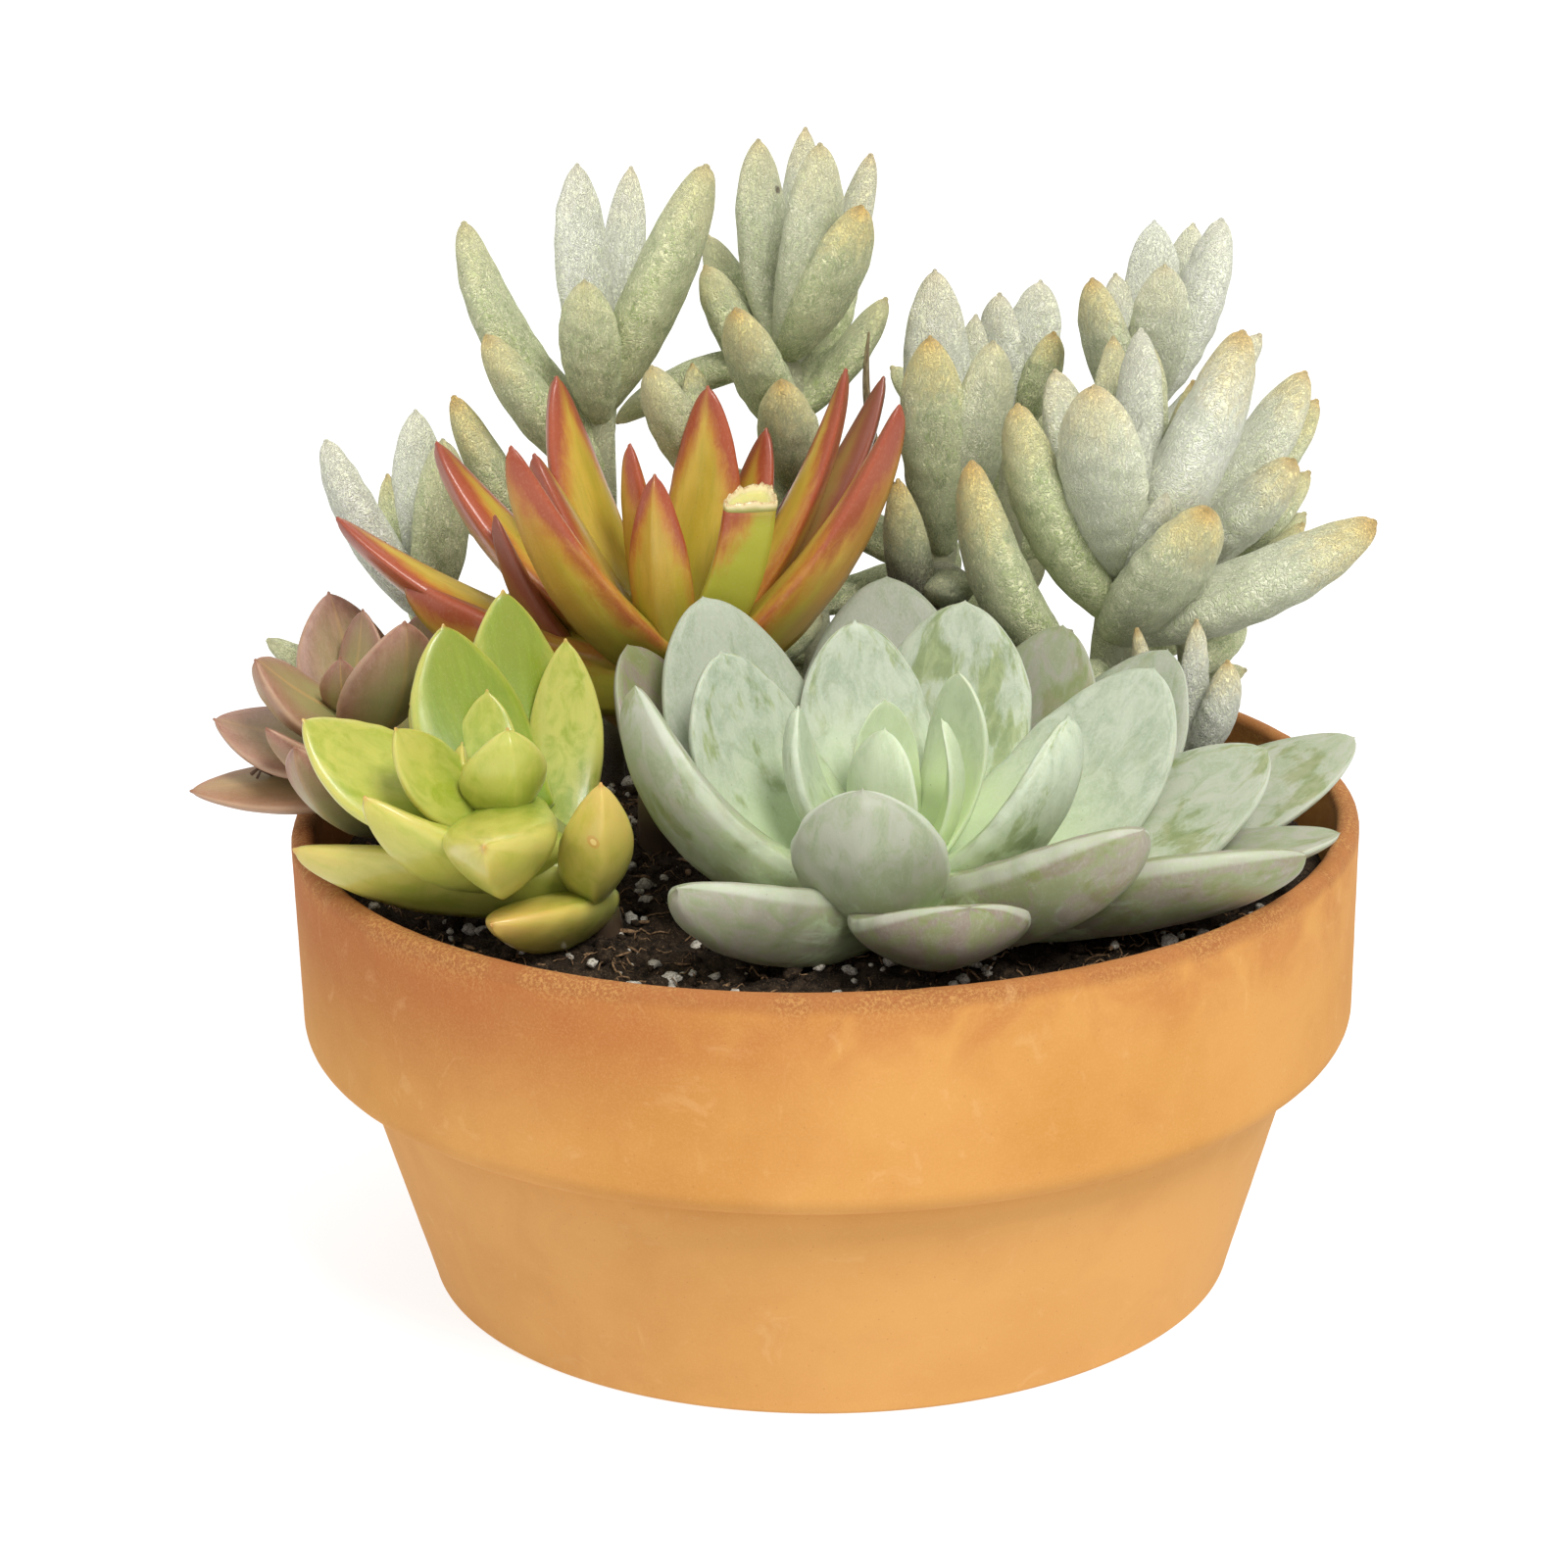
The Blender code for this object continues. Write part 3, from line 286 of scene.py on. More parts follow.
WOOLLY_PLANTS = {
    "woolly_far_left": Plant(WOOLLY, (-74, 36), (-78, 38, 122), 2.6, (
        Leaf("left", (332, 448), 30, 11.5, 0.95, tip=0.1, pale=1.0),
        Leaf("small", (395, 483), 48, 7.5, 1.00, tip=0.6),
        Leaf("back", (424, 417), 50, 10.5, 1.00, tip=0.1, pale=0.9),
        Leaf("front", (452, 447), 30, 12.0, 0.90, tip=0.2),
        Leaf("low", (272, 652), 22, 9.5, 0.40, tip=0.1),
    ), (Whorl(2, 40, 55, 30, 28, 9.5, 0.60, 0.15), Whorl(3, 75, 55, 10, 24, 9.0, 0.25, 0.10))),
    "woolly_left": Plant(WOOLLY, (-42, 42), (-42, 40, 162), 2.8, (
        Leaf("far_left", (473, 225), 44, 12.5, 0.88, bow=0.10, pale=0.4),
        Leaf("tall_left", (589, 166), 46, 11.0, 1.00, tip=0.15, pale=1.0),
        Leaf("front", (596, 285), 28, 12.0, 0.95),
        Leaf("small", (626, 257), 54, 6.5, 1.00, tip=0.0, pale=1.0),
        Leaf("tall_back", (644, 169), 60, 9.0, 1.00, pale=1.0),
        Leaf("tall_right", (722, 167), 33, 15.0, 0.98, bow=0.02, tip=0.4),
        Leaf("low_left", (495, 341), 32, 12.5, 0.80, tip=0.7),
        Leaf("golden_left", (462, 403), 38, 12, 0.42, tip=0.9),
    ), (Whorl(2, 98, 50, 40, 34, 9.5, 0.85, 0.05), Whorl(3, 60, 50, 10, 32, 9.5, 0.35, 0.12),
        Whorl(3, 75, 40, 0, 24, 9.0, 0.14, 0.06))),
    "woolly_middle": Plant(WOOLLY, (0, 48), (-6, 45, 169), 2.8, (
        Leaf("tall_left", (774, 141), 50, 11.5, 0.97, tip=0.4, pale=0.6),
        Leaf("tall_back", (822, 129), 62, 8.5, 1.00, tip=0.5, pale=0.8),
        Leaf("tall_front", (837, 145), 36, 13.0, 1.00, tip=0.4, pale=0.6),
        Leaf("tall_right", (889, 156), 50, 9.5, 0.97, tip=0.5, pale=0.8),
        Leaf("golden_right", (880, 209), 30, 13.5, 1.00, tip=1.0),
        Leaf("left", (719, 270), 50, 12.0, 0.88, tip=0.5),
        Leaf("golden_left", (750, 314), 26, 12.0, 0.80, tip=0.9, pale=0.2),
        Leaf("right", (905, 303), 52, 9.0, 0.85, tip=0.4, pale=0.1),
        Leaf("long_low", (628, 432), 58, 9.0, 0.97, bow=-0.08, tip=0.5, pale=0.4),
        Leaf("low_front", (797, 387), 22, 12.5, 0.64, tip=0.9, pale=0.1, dull=0.2),
    ), (Whorl(2, 60, 70, 45, 34, 9.5, 0.88, 0.06), Whorl(3, 40, 50, 5, 30, 9.5, 0.40, 0.12),
        Whorl(3, 55, 40, 0, 24, 9.0, 0.16, 0.06))),
    "woolly_short": Plant(WOOLLY, (-18, 30), (-19, 30, 147), 2.4, (
        Leaf("left", (664, 373), 14, 11.5, 0.97, tip=0.5, pale=0.4),
        Leaf("back", (706, 370), 38, 7.0, 1.00, tip=0.7, pale=0.4),
        Leaf("front", (700, 432), 20, 9.5, 0.88, tip=0.4),
    ), (Whorl(4, 20, 60, 25, 22, 9.0, 0.40, 0.14),)),
    "woolly_right_middle": Plant(WOOLLY, (22, 36), (25, 38, 136), 2.8, (
        Leaf("tall", (954, 274), 46, 13.5, 0.97, bow=0.04, pale=0.9),
        Leaf("golden_front", (949, 342), 26, 13.5, 0.90, bow=0.04, tip=1.0, pale=0.4),
        Leaf("back", (996, 320), 52, 9.0, 1.00, tip=0.2, pale=0.8),
        Leaf("right", (1014, 347), 28, 13.5, 0.97, pale=0.6),
        Leaf("withered", (916, 488), 14, 9.5, 0.45, tip=1.0, pale=0.2, dull=0.84),
        Leaf("blunt", (972, 600), 12, 10.5, 0.80, tip=0.0, pale=0.0, dull=0.6),
        Leaf("dried", (887, 338), 33, 4.0, 0.90, bow=0.13, thick=1.6, tip=0.8, dull=1.0),
    ), (Whorl(3, 40, 50, 15, 30, 10.0, 0.60, 0.12),)),
    "woolly_back_right": Plant(WOOLLY, (38, 64), (40, 62, 152), 2.6, (
        Leaf("left", (1020, 298), 60, 10.5, 0.95, pale=1.0),
        Leaf("tall", (1062, 285), 70, 11.5, 1.00, tip=0.2, pale=0.9),
        Leaf("brown", (1076, 338), 56, 9.5, 0.95, tip=1.0, dull=0.15),
    ), (Whorl(3, 30, 60, 30, 32, 9.5, 0.55, 0.15), Whorl(3, 55, 42, 5, 26, 9.0, 0.20, 0.08))),
    "woolly_right_tall": Plant(WOOLLY, (60, 54), (66, 56, 155), 2.8, (
        Leaf("left", (1114, 283), 46, 11.5, 0.92, tip=0.9, pale=0.6),
        Leaf("left_back", (1138, 278), 64, 9.0, 0.97, pale=0.9),
        Leaf("tall_white", (1178, 224), 68, 11.5, 1.00, tip=0.0, pale=1.0),
        Leaf("tall_back", (1218, 227), 76, 10.0, 1.00, tip=0.2, pale=0.8),
        Leaf("tall_right", (1247, 222), 58, 13.0, 1.00, tip=0.1, pale=1.0),
        Leaf("front", (1189, 269), 44, 12.0, 1.00, pale=0.7),
        Leaf("right_back", (1287, 340), 64, 10.0, 0.85, tip=0.4, pale=0.9),
    ), (Whorl(3, 20, 55, 15, 32, 9.5, 0.50, 0.14), Whorl(3, 0, 45, 5, 26, 9.0, 0.20, 0.08))),
    "woolly_right_front": Plant(WOOLLY, (54, 22), (58, 20, 133), 3.2, (
        Leaf("left_tall", (1038, 411), 14, 15.0, 0.80, bow=0.08, tip=0.7),
        Leaf("back_left", (1076, 376), 30, 12.0, 1.00, tip=0.4, pale=0.8),
        Leaf("front_left", (1116, 392), 4, 17.0, 0.98, tip=0.6, pale=0.72),
        Leaf("back", (1136, 342), 38, 9.0, 1.00, tip=0.6, pale=0.6),
        Leaf("white", (1164, 334), 24, 10.5, 1.00, bow=0.04, tip=0.1, pale=1.0),
        Leaf("right_inner", (1170, 346), 34, 11.5, 1.00, bow=0.04, tip=0.5, pale=0.5),
        Leaf("bud_white", (1167, 430), 12, 6.0, 1.00, bow=0.03, tip=0.0, pale=1.0),
        Leaf("bud_golden", (1218, 387), 24, 7.0, 1.00, tip=0.8, pale=0.5),
        Leaf("large", (1269, 336), 14, 17.5, 0.95, tip=0.9, pale=0.9),
        Leaf("front_golden", (1234, 518), 0, 17.0, 0.72, tip=1.0, pale=0.55),
        Leaf("small_white", (1191, 503), 6, 7.0, 0.92, tip=0.2, pale=0.9),
        Leaf("golden_low_left", (991, 469), 8, 15, 0.38, bow=0.10, tip=1.0, pale=0.25),
        Leaf("far_right", (1405, 531), 10, 17.0, 0.72, bow=0.06, tip=1.0, pale=0.65),
    ), (Whorl(3, 150, 40, 5, 20, 9.0, 0.35, 0.10),)),
    "woolly_far_right": Plant(WOOLLY, (74, 40), (71, 36, 132), 2.6, (
        Leaf("top", (1333, 378), 44, 13.5, 1.00, tip=0.8, pale=0.75),
        Leaf("upper", (1345, 407), 52, 11.0, 0.97, tip=0.8, pale=0.5),
        Leaf("middle", (1322, 468), 28, 14.5, 0.92, tip=0.9, pale=0.75),
        Leaf("behind", (1337, 480), 46, 9.5, 0.80, tip=0.6, pale=0.5),
        Leaf("lowest", (1331, 533), 34, 8.0, 0.65, tip=0.6, pale=0.4),
    ), (Whorl(2, 15, 50, 35, 30, 9.5, 0.70, 0.15), Whorl(1, 60, 50, 10, 24, 9.0, 0.45, 0.10))),
    "woolly_sprig": Plant(WOOLLY, (69, 8), (70, 8, 96), 2.2, (
        Leaf("left", (1160, 640), 6, 6.0, 0.80, tip=0.9, pale=1.0),
        Leaf("middle", (1221, 631), 6, 6.0, 1.00, bow=0.02, tip=0.7, pale=1.0),
        Leaf("right", (1253, 673), 2, 9.0, 1.00, bow=0.10, tip=0.9, pale=0.9),
    ), ()),
}

PLANTS = {
    "blue_rosette": Plant(BLUE, (10, -50), (14, -52, 95), 5.0, BLUE_LEAVES,
                          (Whorl(5, 35, 27, 20, 54, 26, 0.60, 0.04),)),
    "lime_rosette": Plant(LIME, (-41, -43), (-62, -46, 110), 3.4, LIME_LEAVES,
                          (Whorl(2, 108, 40, 25, 27, 16, 0.31, 0.06),)),
    "bronze_rosette": Plant(BRONZE, (-76, 2), (-90, -2, 112), 3.0, BRONZE_LEAVES,
                            (Whorl(3, 60, 40, 15, 22, 14, 0.35, 0.10),)),
    "red_stonecrop": Plant(RED, (-32, 5), (-28, -1, 121), 4.0, RED_LEAVES,
                           (Whorl(5, 18, 24, 40, 36, 11, 0.60, 0.04),)),
    **WOOLLY_PLANTS,
}


# Single marks on leaves, by the slot, the name and the pixel of the leaf's tip:
# how far across (mm) and along (0 to 1) the leaf it is, 1 for the leaf's face
# or -1 for its back, and the mark's radius in mm
MARKS = {
    ("lime_leaf", "front_right", (613, 798)): (1.5, 0.75, -1.0, 0.6),
    ("blue_leaf", "front_lip", (990, 925)): (1.0, 0.60, -1.0, 1.2),
    ("woolly_leaf", "tall_left", (774, 141)): (1.5, 0.78, 1.0, 0.9),
}

# Rootlets of the bronze rosette that hang beside its lowest leaves: pixels and depths y,
# their radius, sides and the height on the stem where they start
ROOTLETS = (
    (((300, 784), -2), ((272, 784), -3), ((262, 774), -4), ((247, 766), -4)),
    (((298, 786), -2), ((276, 790), -3), ((264, 784), -4), ((256, 790), -5)),
    (((296, 782), -2), ((268, 782), -4), ((262, 794), -5)),
)
ROOTLET_RADIUS = 0.32
ROOTLET_SIDES = 6
ROOTLET_START = 0.45


# Where the photograph shows things

def view_axes():
    """The photograph's right, up and backwards, as directions of the model."""
    level = Vector((1.0, 0.0, 0.0))
    tall = Vector((0.0, math.sin(VIEW_PITCH), math.cos(VIEW_PITCH)))
    right = level * math.cos(VIEW_ROLL) + tall * math.sin(VIEW_ROLL)
    up = tall * math.cos(VIEW_ROLL) - level * math.sin(VIEW_ROLL)
    return right, up, TO_FRONT


def point_seen_at(pixel, depth):
    """The place that the photograph shows at a pixel, at a depth y."""
    right, up, back = view_axes()
    across = (pixel[0] - FRAME_MIDDLE) / FOCAL_PIXELS
    down = (pixel[1] - FRAME_MIDDLE) / FOCAL_PIXELS
    ray = right * across - up * down - back
    eye = VIEW_AIM + back * VIEW_DISTANCE
    return eye + ray * ((depth - eye.y) / ray.y)


# Stems and where leaves grow on them

def stem_point(plant, share):
    """A point on a stem, from 0 at the soil to 1 at its top."""
    foot = Vector((*plant.foot, SOIL_TOP))
    top = Vector(plant.top)
    bend = Vector((*plant.foot, (SOIL_TOP + top.z) / 2))
    rest = 1.0 - share
    return foot * rest * rest + bend * 2.0 * rest * share + top * share * share


def all_leaves(plant):
    """The plant's leaves, each with the place of its tip."""
    found = [(leaf, point_seen_at(leaf.seen, leaf.depth)) for leaf in plant.leaves]
    for whorl in plant.whorls:
        for index in range(whorl.count):
            at = whorl.at + whorl.climb * index
            heading = math.radians(whorl.first + whorl.step * index)
            lift = math.radians(whorl.lift)
            aim = Vector((math.cos(heading) * math.cos(lift), math.sin(heading) * math.cos(lift),
                          math.sin(lift)))
            name = "hidden_%d_%d" % (whorl.first, index)
            leaf = Leaf(name, None, None, whorl.width, at)
            found.append((leaf, stem_point(plant, at) + aim * whorl.length))
    return found


def leaf_route(plant, leaf, tip):
    """The base, bend and tip of a leaf's midrib, and the way it heads."""
    base = stem_point(plant, leaf.at)
    base = base - (tip - base).normalized() * ROOT_DEPTH
    chord = tip - base
    outward = (chord - UP * chord.dot(UP)).normalized()
    face = (UP * chord.dot(outward) - outward * chord.dot(UP)).normalized()
    bow = plant.kind.bow if leaf.bow is None else leaf.bow
    bend = (base + tip) / 2 - face * bow * 2 * chord.length
    return base, bend, tip, outward


# Surfaces, as grids of points with what the materials need to know about them

class Surface:
    """Points and faces of a piece, with values at each point for its material."""

    NAMES = ("along", "across", "upper", "tip", "rub", "pale", "dull", "chance", "part")
    UNMARKED = np.array((99.0, 99.0, 99.0))

    def __init__(self):
        self.points = []
        self.faces = []
        self.values = {name: [] for name in self.NAMES}
        self.flow = []
        self.mark = []
        self.count = 0

    def add(self, points, faces, flow=None, mark=None, **values):
        """Add points (an array of N x 3), faces and the values at the points."""
        self.points.append(points)
        self.faces.extend([tuple(corner + self.count for corner in face) for face in faces])
        self.flow.append(points if flow is None else flow)
        self.mark.append(np.broadcast_to(self.UNMARKED if mark is None else mark, points.shape))
        for name in self.NAMES:
            self.values[name].append(np.broadcast_to(values.get(name, 0.0), len(points)))
        self.count += len(points)

    def piece(self, name, material):
        """An object of the surface, smooth, with its values as attributes."""
        mesh = bpy.data.meshes.new(name)
        points = np.concatenate(self.points) * MM
        mesh.from_pydata(points.tolist(), [], self.faces)
        for value_name, parts in self.values.items():
            attribute = mesh.attributes.new(value_name, "FLOAT", "POINT")
            attribute.data.foreach_set("value", np.concatenate(parts).astype(np.float32))
        for vector_name, vectors in (("flow", self.flow), ("mark", self.mark)):
            attribute = mesh.attributes.new(vector_name, "FLOAT_VECTOR", "POINT")
            attribute.data.foreach_set("vector", np.concatenate(vectors).astype(np.float32).ravel())
        mesh.shade_smooth()
        mesh.materials.append(material)
        return add_object(name, mesh)


def add_object(name, data):
    """An object in the scene."""
    thing = bpy.data.objects.new(name, data)
    bpy.context.scene.collection.objects.link(thing)
    return thing


def ring_faces(rings, sides):
    """Faces of rings of points with a single point before and after them."""
    faces = []
    last = 1 + rings * sides
    for side in range(sides):
        beside = (side + 1) % sides
        faces.append((0, 1 + beside, 1 + side))
        for ring in range(rings - 1):
            low = 1 + ring * sides
            high = low + sides
            faces.append((low + side, low + beside, high + beside, high + side))
        low = 1 + (rings - 1) * sides
        faces.append((low + side, low + beside, last))
    return faces


def with_ends(values, first=0.0, last=0.0):
    """What the points of rings have, with that of the single points before and after them."""
    return np.concatenate([[first], values, [last]])


def turns(sides):
    """The angles of the points of a ring."""
    return np.arange(sides) / sides * math.tau


def unit(vectors):
    """Vectors made one unit long."""
    return vectors / np.maximum(np.linalg.norm(vectors, axis=-1, keepdims=True), 1e-9)


# Leaves and stems

def width_share(kind, share):
    """How wide a leaf is at shares of its length, as a part of its width."""
    rise = np.sin(np.pi / 2 * np.clip(share / kind.widest, 0.0, 1.0)) ** kind.rise
    rising = kind.base + (1.0 - kind.base) * rise
    fall = np.cos(np.pi / 2 * np.clip((share - kind.widest) / (1.0 - kind.widest), 0.0, 1.0))
    return np.where(share < kind.widest, rising, np.maximum(fall, 0.0) ** kind.point)


def ripple(draw, share, turn, height):
    """Shallow waves over a leaf, different on each, as heights."""
    total = np.zeros(np.broadcast(share, turn).shape)
    for _ in range(RIPPLES):
        lengthwise = draw.uniform(2.0, 9.0)
        around = draw.choice((1, 2, 2, 3, 4, 5))
        phase = draw.uniform(0.0, math.tau)
        shift = draw.uniform(0.0, math.tau)
        total = total + np.sin(share * lengthwise + phase) * np.cos(turn * around + shift) / RIPPLES
    return total * height


def ring_shares(kind, leaf):
    """Where a leaf's rings lie along it, closer together towards its tip."""
    even = np.arange(1, kind.rows) / kind.rows
    if not leaf.cut:
        return 1.0 - (1.0 - even) ** kind.crowd
    share = even ** 0.9
    share[-1] = 1.0
    return share


def ring_frames(leaf, route, share, draw):
    """The middle of each ring, and the ways along, across and out of the face there."""
    base, bend, tip, outward = route
    rest = 1.0 - share
    middle = (base[None] * (rest * rest)[:, None] + bend[None] * (2 * rest * share)[:, None]
              + tip[None] * (share * share)[:, None])
    along = unit((bend - base)[None] * rest[:, None] + (tip - bend)[None] * share[:, None])
    face = unit(np.array(UP)[None] * (along @ outward)[:, None] - outward[None] * along[:, 2:3])
    face = face * (1.0 - leaf.show) + np.array(TO_FRONT)[None] * leaf.show
    side = unit(np.cross(along, face))
    face = np.cross(side, along)
    roll = draw.uniform(-LEAF_ROLL, LEAF_ROLL)
    return (middle, along, side * math.cos(roll) + face * math.sin(roll),
            face * math.cos(roll) - side * math.sin(roll))


def ring_sizes(kind, leaf, share, length):
    """Half the width of each ring, and its thickness."""
    body_end = 1.0 if leaf.cut else 1.0 - kind.nib / length
    body = share * leaf.cut if leaf.cut else np.minimum(share / body_end, 1.0)
    wide = width_share(kind, body) ** (1.0 + kind.taper * np.clip((body - 0.8) / 0.2, 0.0, 1.0))
    half = leaf.width / 2 * wide
    if not leaf.cut:
        nib = kind.nib_width * np.clip((1.02 - share) / (1.02 - body_end), 0.0, 1.0)
        half = np.maximum(half, nib)
        wide = half / (leaf.width / 2)
    thick = leaf.thick or leaf.width * kind.thick
    deep = np.minimum(thick * wide ** 0.7 * (1.0 - 0.3 * body), half * 3.0)
    return half[:, None], deep[:, None]


def ring_heights(kind, deep, turn):
    """How far the points of each ring lie above or below its middle."""
    round_part = np.abs(np.sin(turn))[None, :] ** kind.edge
    keeled = 1.0 - np.abs(np.cos(turn)[None, :])
    above = deep * kind.above * round_part
    below = -deep * (1.0 - kind.above) * (kind.keel * keeled + (1.0 - kind.keel) * round_part)
    return np.where(np.sin(turn)[None, :] >= 0.0, above, below)


def add_leaf(surface, plant, leaf, tip, draw):
    """A leaf: rings laid along its midrib, from its base to its tip."""
    kind = plant.kind
    route = [np.array(item) for item in leaf_route(plant, leaf, tip)]
    base, _, tip, _ = route
    length = np.linalg.norm(tip - base)
    share = ring_shares(kind, leaf)
    rings = len(share)
    middle, along, side, face = ring_frames(leaf, route, share, draw)
    half, deep = ring_sizes(kind, leaf, share, length)
    turn = turns(kind.sides)
    across = np.cos(turn)[None, :]
    wave = 1.0 + ripple(draw, share[:, None] * RIPPLE_STRETCH, turn[None, :], kind.wave * RIPPLE_HEIGHT)
    height = ring_heights(kind, deep, turn) * wave + kind.cup * half * across * across
    points = (middle[:, None, :] + side[:, None, :] * (half * across * wave)[..., None]
              + face[:, None, :] * height[..., None])
    end = tip - along[-1] * CUT_HOLLOW if leaf.cut else tip
    points = with_ends(points.reshape(-1, 3), base, end)
    share = with_ends(np.repeat(share, kind.sides), 0.0, 1.0)
    across = with_ends(np.tile(np.cos(turn), rings))
    upper = with_ends(np.tile(np.sin(turn), rings))
    aside = across * with_ends(np.repeat(half[:, 0], kind.sides))
    chance = draw.random()
    flow = np.stack([aside, share * length, chance * 500.0 + upper * 2.0], axis=1)
    mark = None
    spot = MARKS.get((kind.slot, leaf.name, leaf.seen))
    if spot:
        mark = np.stack([aside - spot[0], (share - spot[1]) * length,
                         np.where(upper * spot[2] > -0.2, 0.0, 50.0)], axis=1) / spot[3]
    surface.add(points, ring_faces(rings, kind.sides), flow, mark, along=share, across=across, upper=upper,
                tip=leaf.tip, rub=leaf.rub, pale=leaf.pale, dull=leaf.dull, chance=chance)
    if leaf.cut:
        add_cut_face(surface, points[-1 - kind.sides:-1], along[-1], draw)


def add_cut_face(surface, rim, along, draw):
    """The flat face where a leaf was cut, with a dry and ragged rim."""
    centre = rim.mean(axis=0)
    sides = len(rim)
    ragged = np.array([draw.uniform(-0.4, 1.3) for _ in range(sides)])
    ragged = ragged * 0.7 + np.roll(ragged, 1) * 0.3
    rows = [centre + (rim - centre) * scale + along * (rise + ragged[:, None] * dry)
            for scale, rise, dry in CUT_ROWS]
    points = with_ends(np.concatenate(rows), centre - along * CUT_BACK, centre - along * CUT_MIDDLE)
    across, _, dry = [with_ends(np.repeat(column, sides)) for column in zip(*CUT_ROWS)]
    surface.add(points, ring_faces(len(CUT_ROWS), sides), along=dry, across=across, part=CUT_PART,
                chance=draw.random())


def add_tube(surface, route, radii, sides, part, draw, bumps=0.0):
    """A tube along points, closed at both ends."""
    route = np.array([list(point) for point in route], float)
    along = unit(np.gradient(route, axis=0))
    side = unit(np.cross(along, np.array(ASKEW)[None]))
    face = np.cross(side, along)
    turn = turns(sides)
    radii = np.broadcast_to(radii, len(route))
    swell = 1.0 + bumps * np.array([[draw.uniform(-1, 1) for _ in turn] for _ in route])
    ring = (side[:, None] * np.cos(turn)[None, :, None] + face[:, None] * np.sin(turn)[None, :, None])
    points = route[:, None] + ring * (radii[:, None] * swell)[..., None]
    points = with_ends(points.reshape(-1, 3), route[0] - along[0] * radii[0] * 0.5,
                       route[-1] + along[-1] * radii[-1] * 0.5)
    share = with_ends(np.repeat(np.linspace(0.0, 1.0, len(route)), sides), 0.0, 1.0)
    across = with_ends(np.tile(np.cos(turn), len(route)))
    surface.add(points, ring_faces(len(route), sides), along=share, across=across, part=part,
                chance=draw.random())


def add_stem(surface, plant, draw):
    """A plant's stem, from its foot in the soil to its top."""
    route = [Vector((*plant.foot, STEM_FOOT)), Vector((*plant.foot, SOIL_TOP - 3.0))]
    route += [stem_point(plant, index / STEM_STEPS) for index in range(STEM_STEPS + 1)]
    add_tube(surface, route, plant.stem, STEM_SIDES, STEM_PART, draw, bumps=0.05)


# Materials

class Value:
    """A number at each point of a surface. Arithmetic on it makes nodes."""

    def __init__(self, skin, socket):
        self.skin = skin
        self.socket = socket

    def __add__(self, other):
        return self.skin.math("ADD", self, other)

    def __sub__(self, other):
        return self.skin.math("SUBTRACT", self, other)

    def __rsub__(self, other):
        return self.skin.math("SUBTRACT", other, self)

    def __mul__(self, other):
        return self.skin.math("MULTIPLY", self, other)

    def __lt__(self, other):
        return self.skin.math("LESS_THAN", self, other)

    def __abs__(self):
        return self.skin.math("ABSOLUTE", self, 0.0)

    def clamp(self):
        """The same value, kept between 0 and 1."""
        self.socket.node.use_clamp = True
        return self

    def step(self, low, high, to_low=0.0, to_high=1.0):
        """A smooth step from one value to another as this one grows."""
        made = self.skin.node("ShaderNodeMapRange", interpolation_type="SMOOTHSTEP")
        return self.skin.outcome(made, "Result", Value=self, From_Min=low, From_Max=high, To_Min=to_low,
                                 To_Max=to_high)


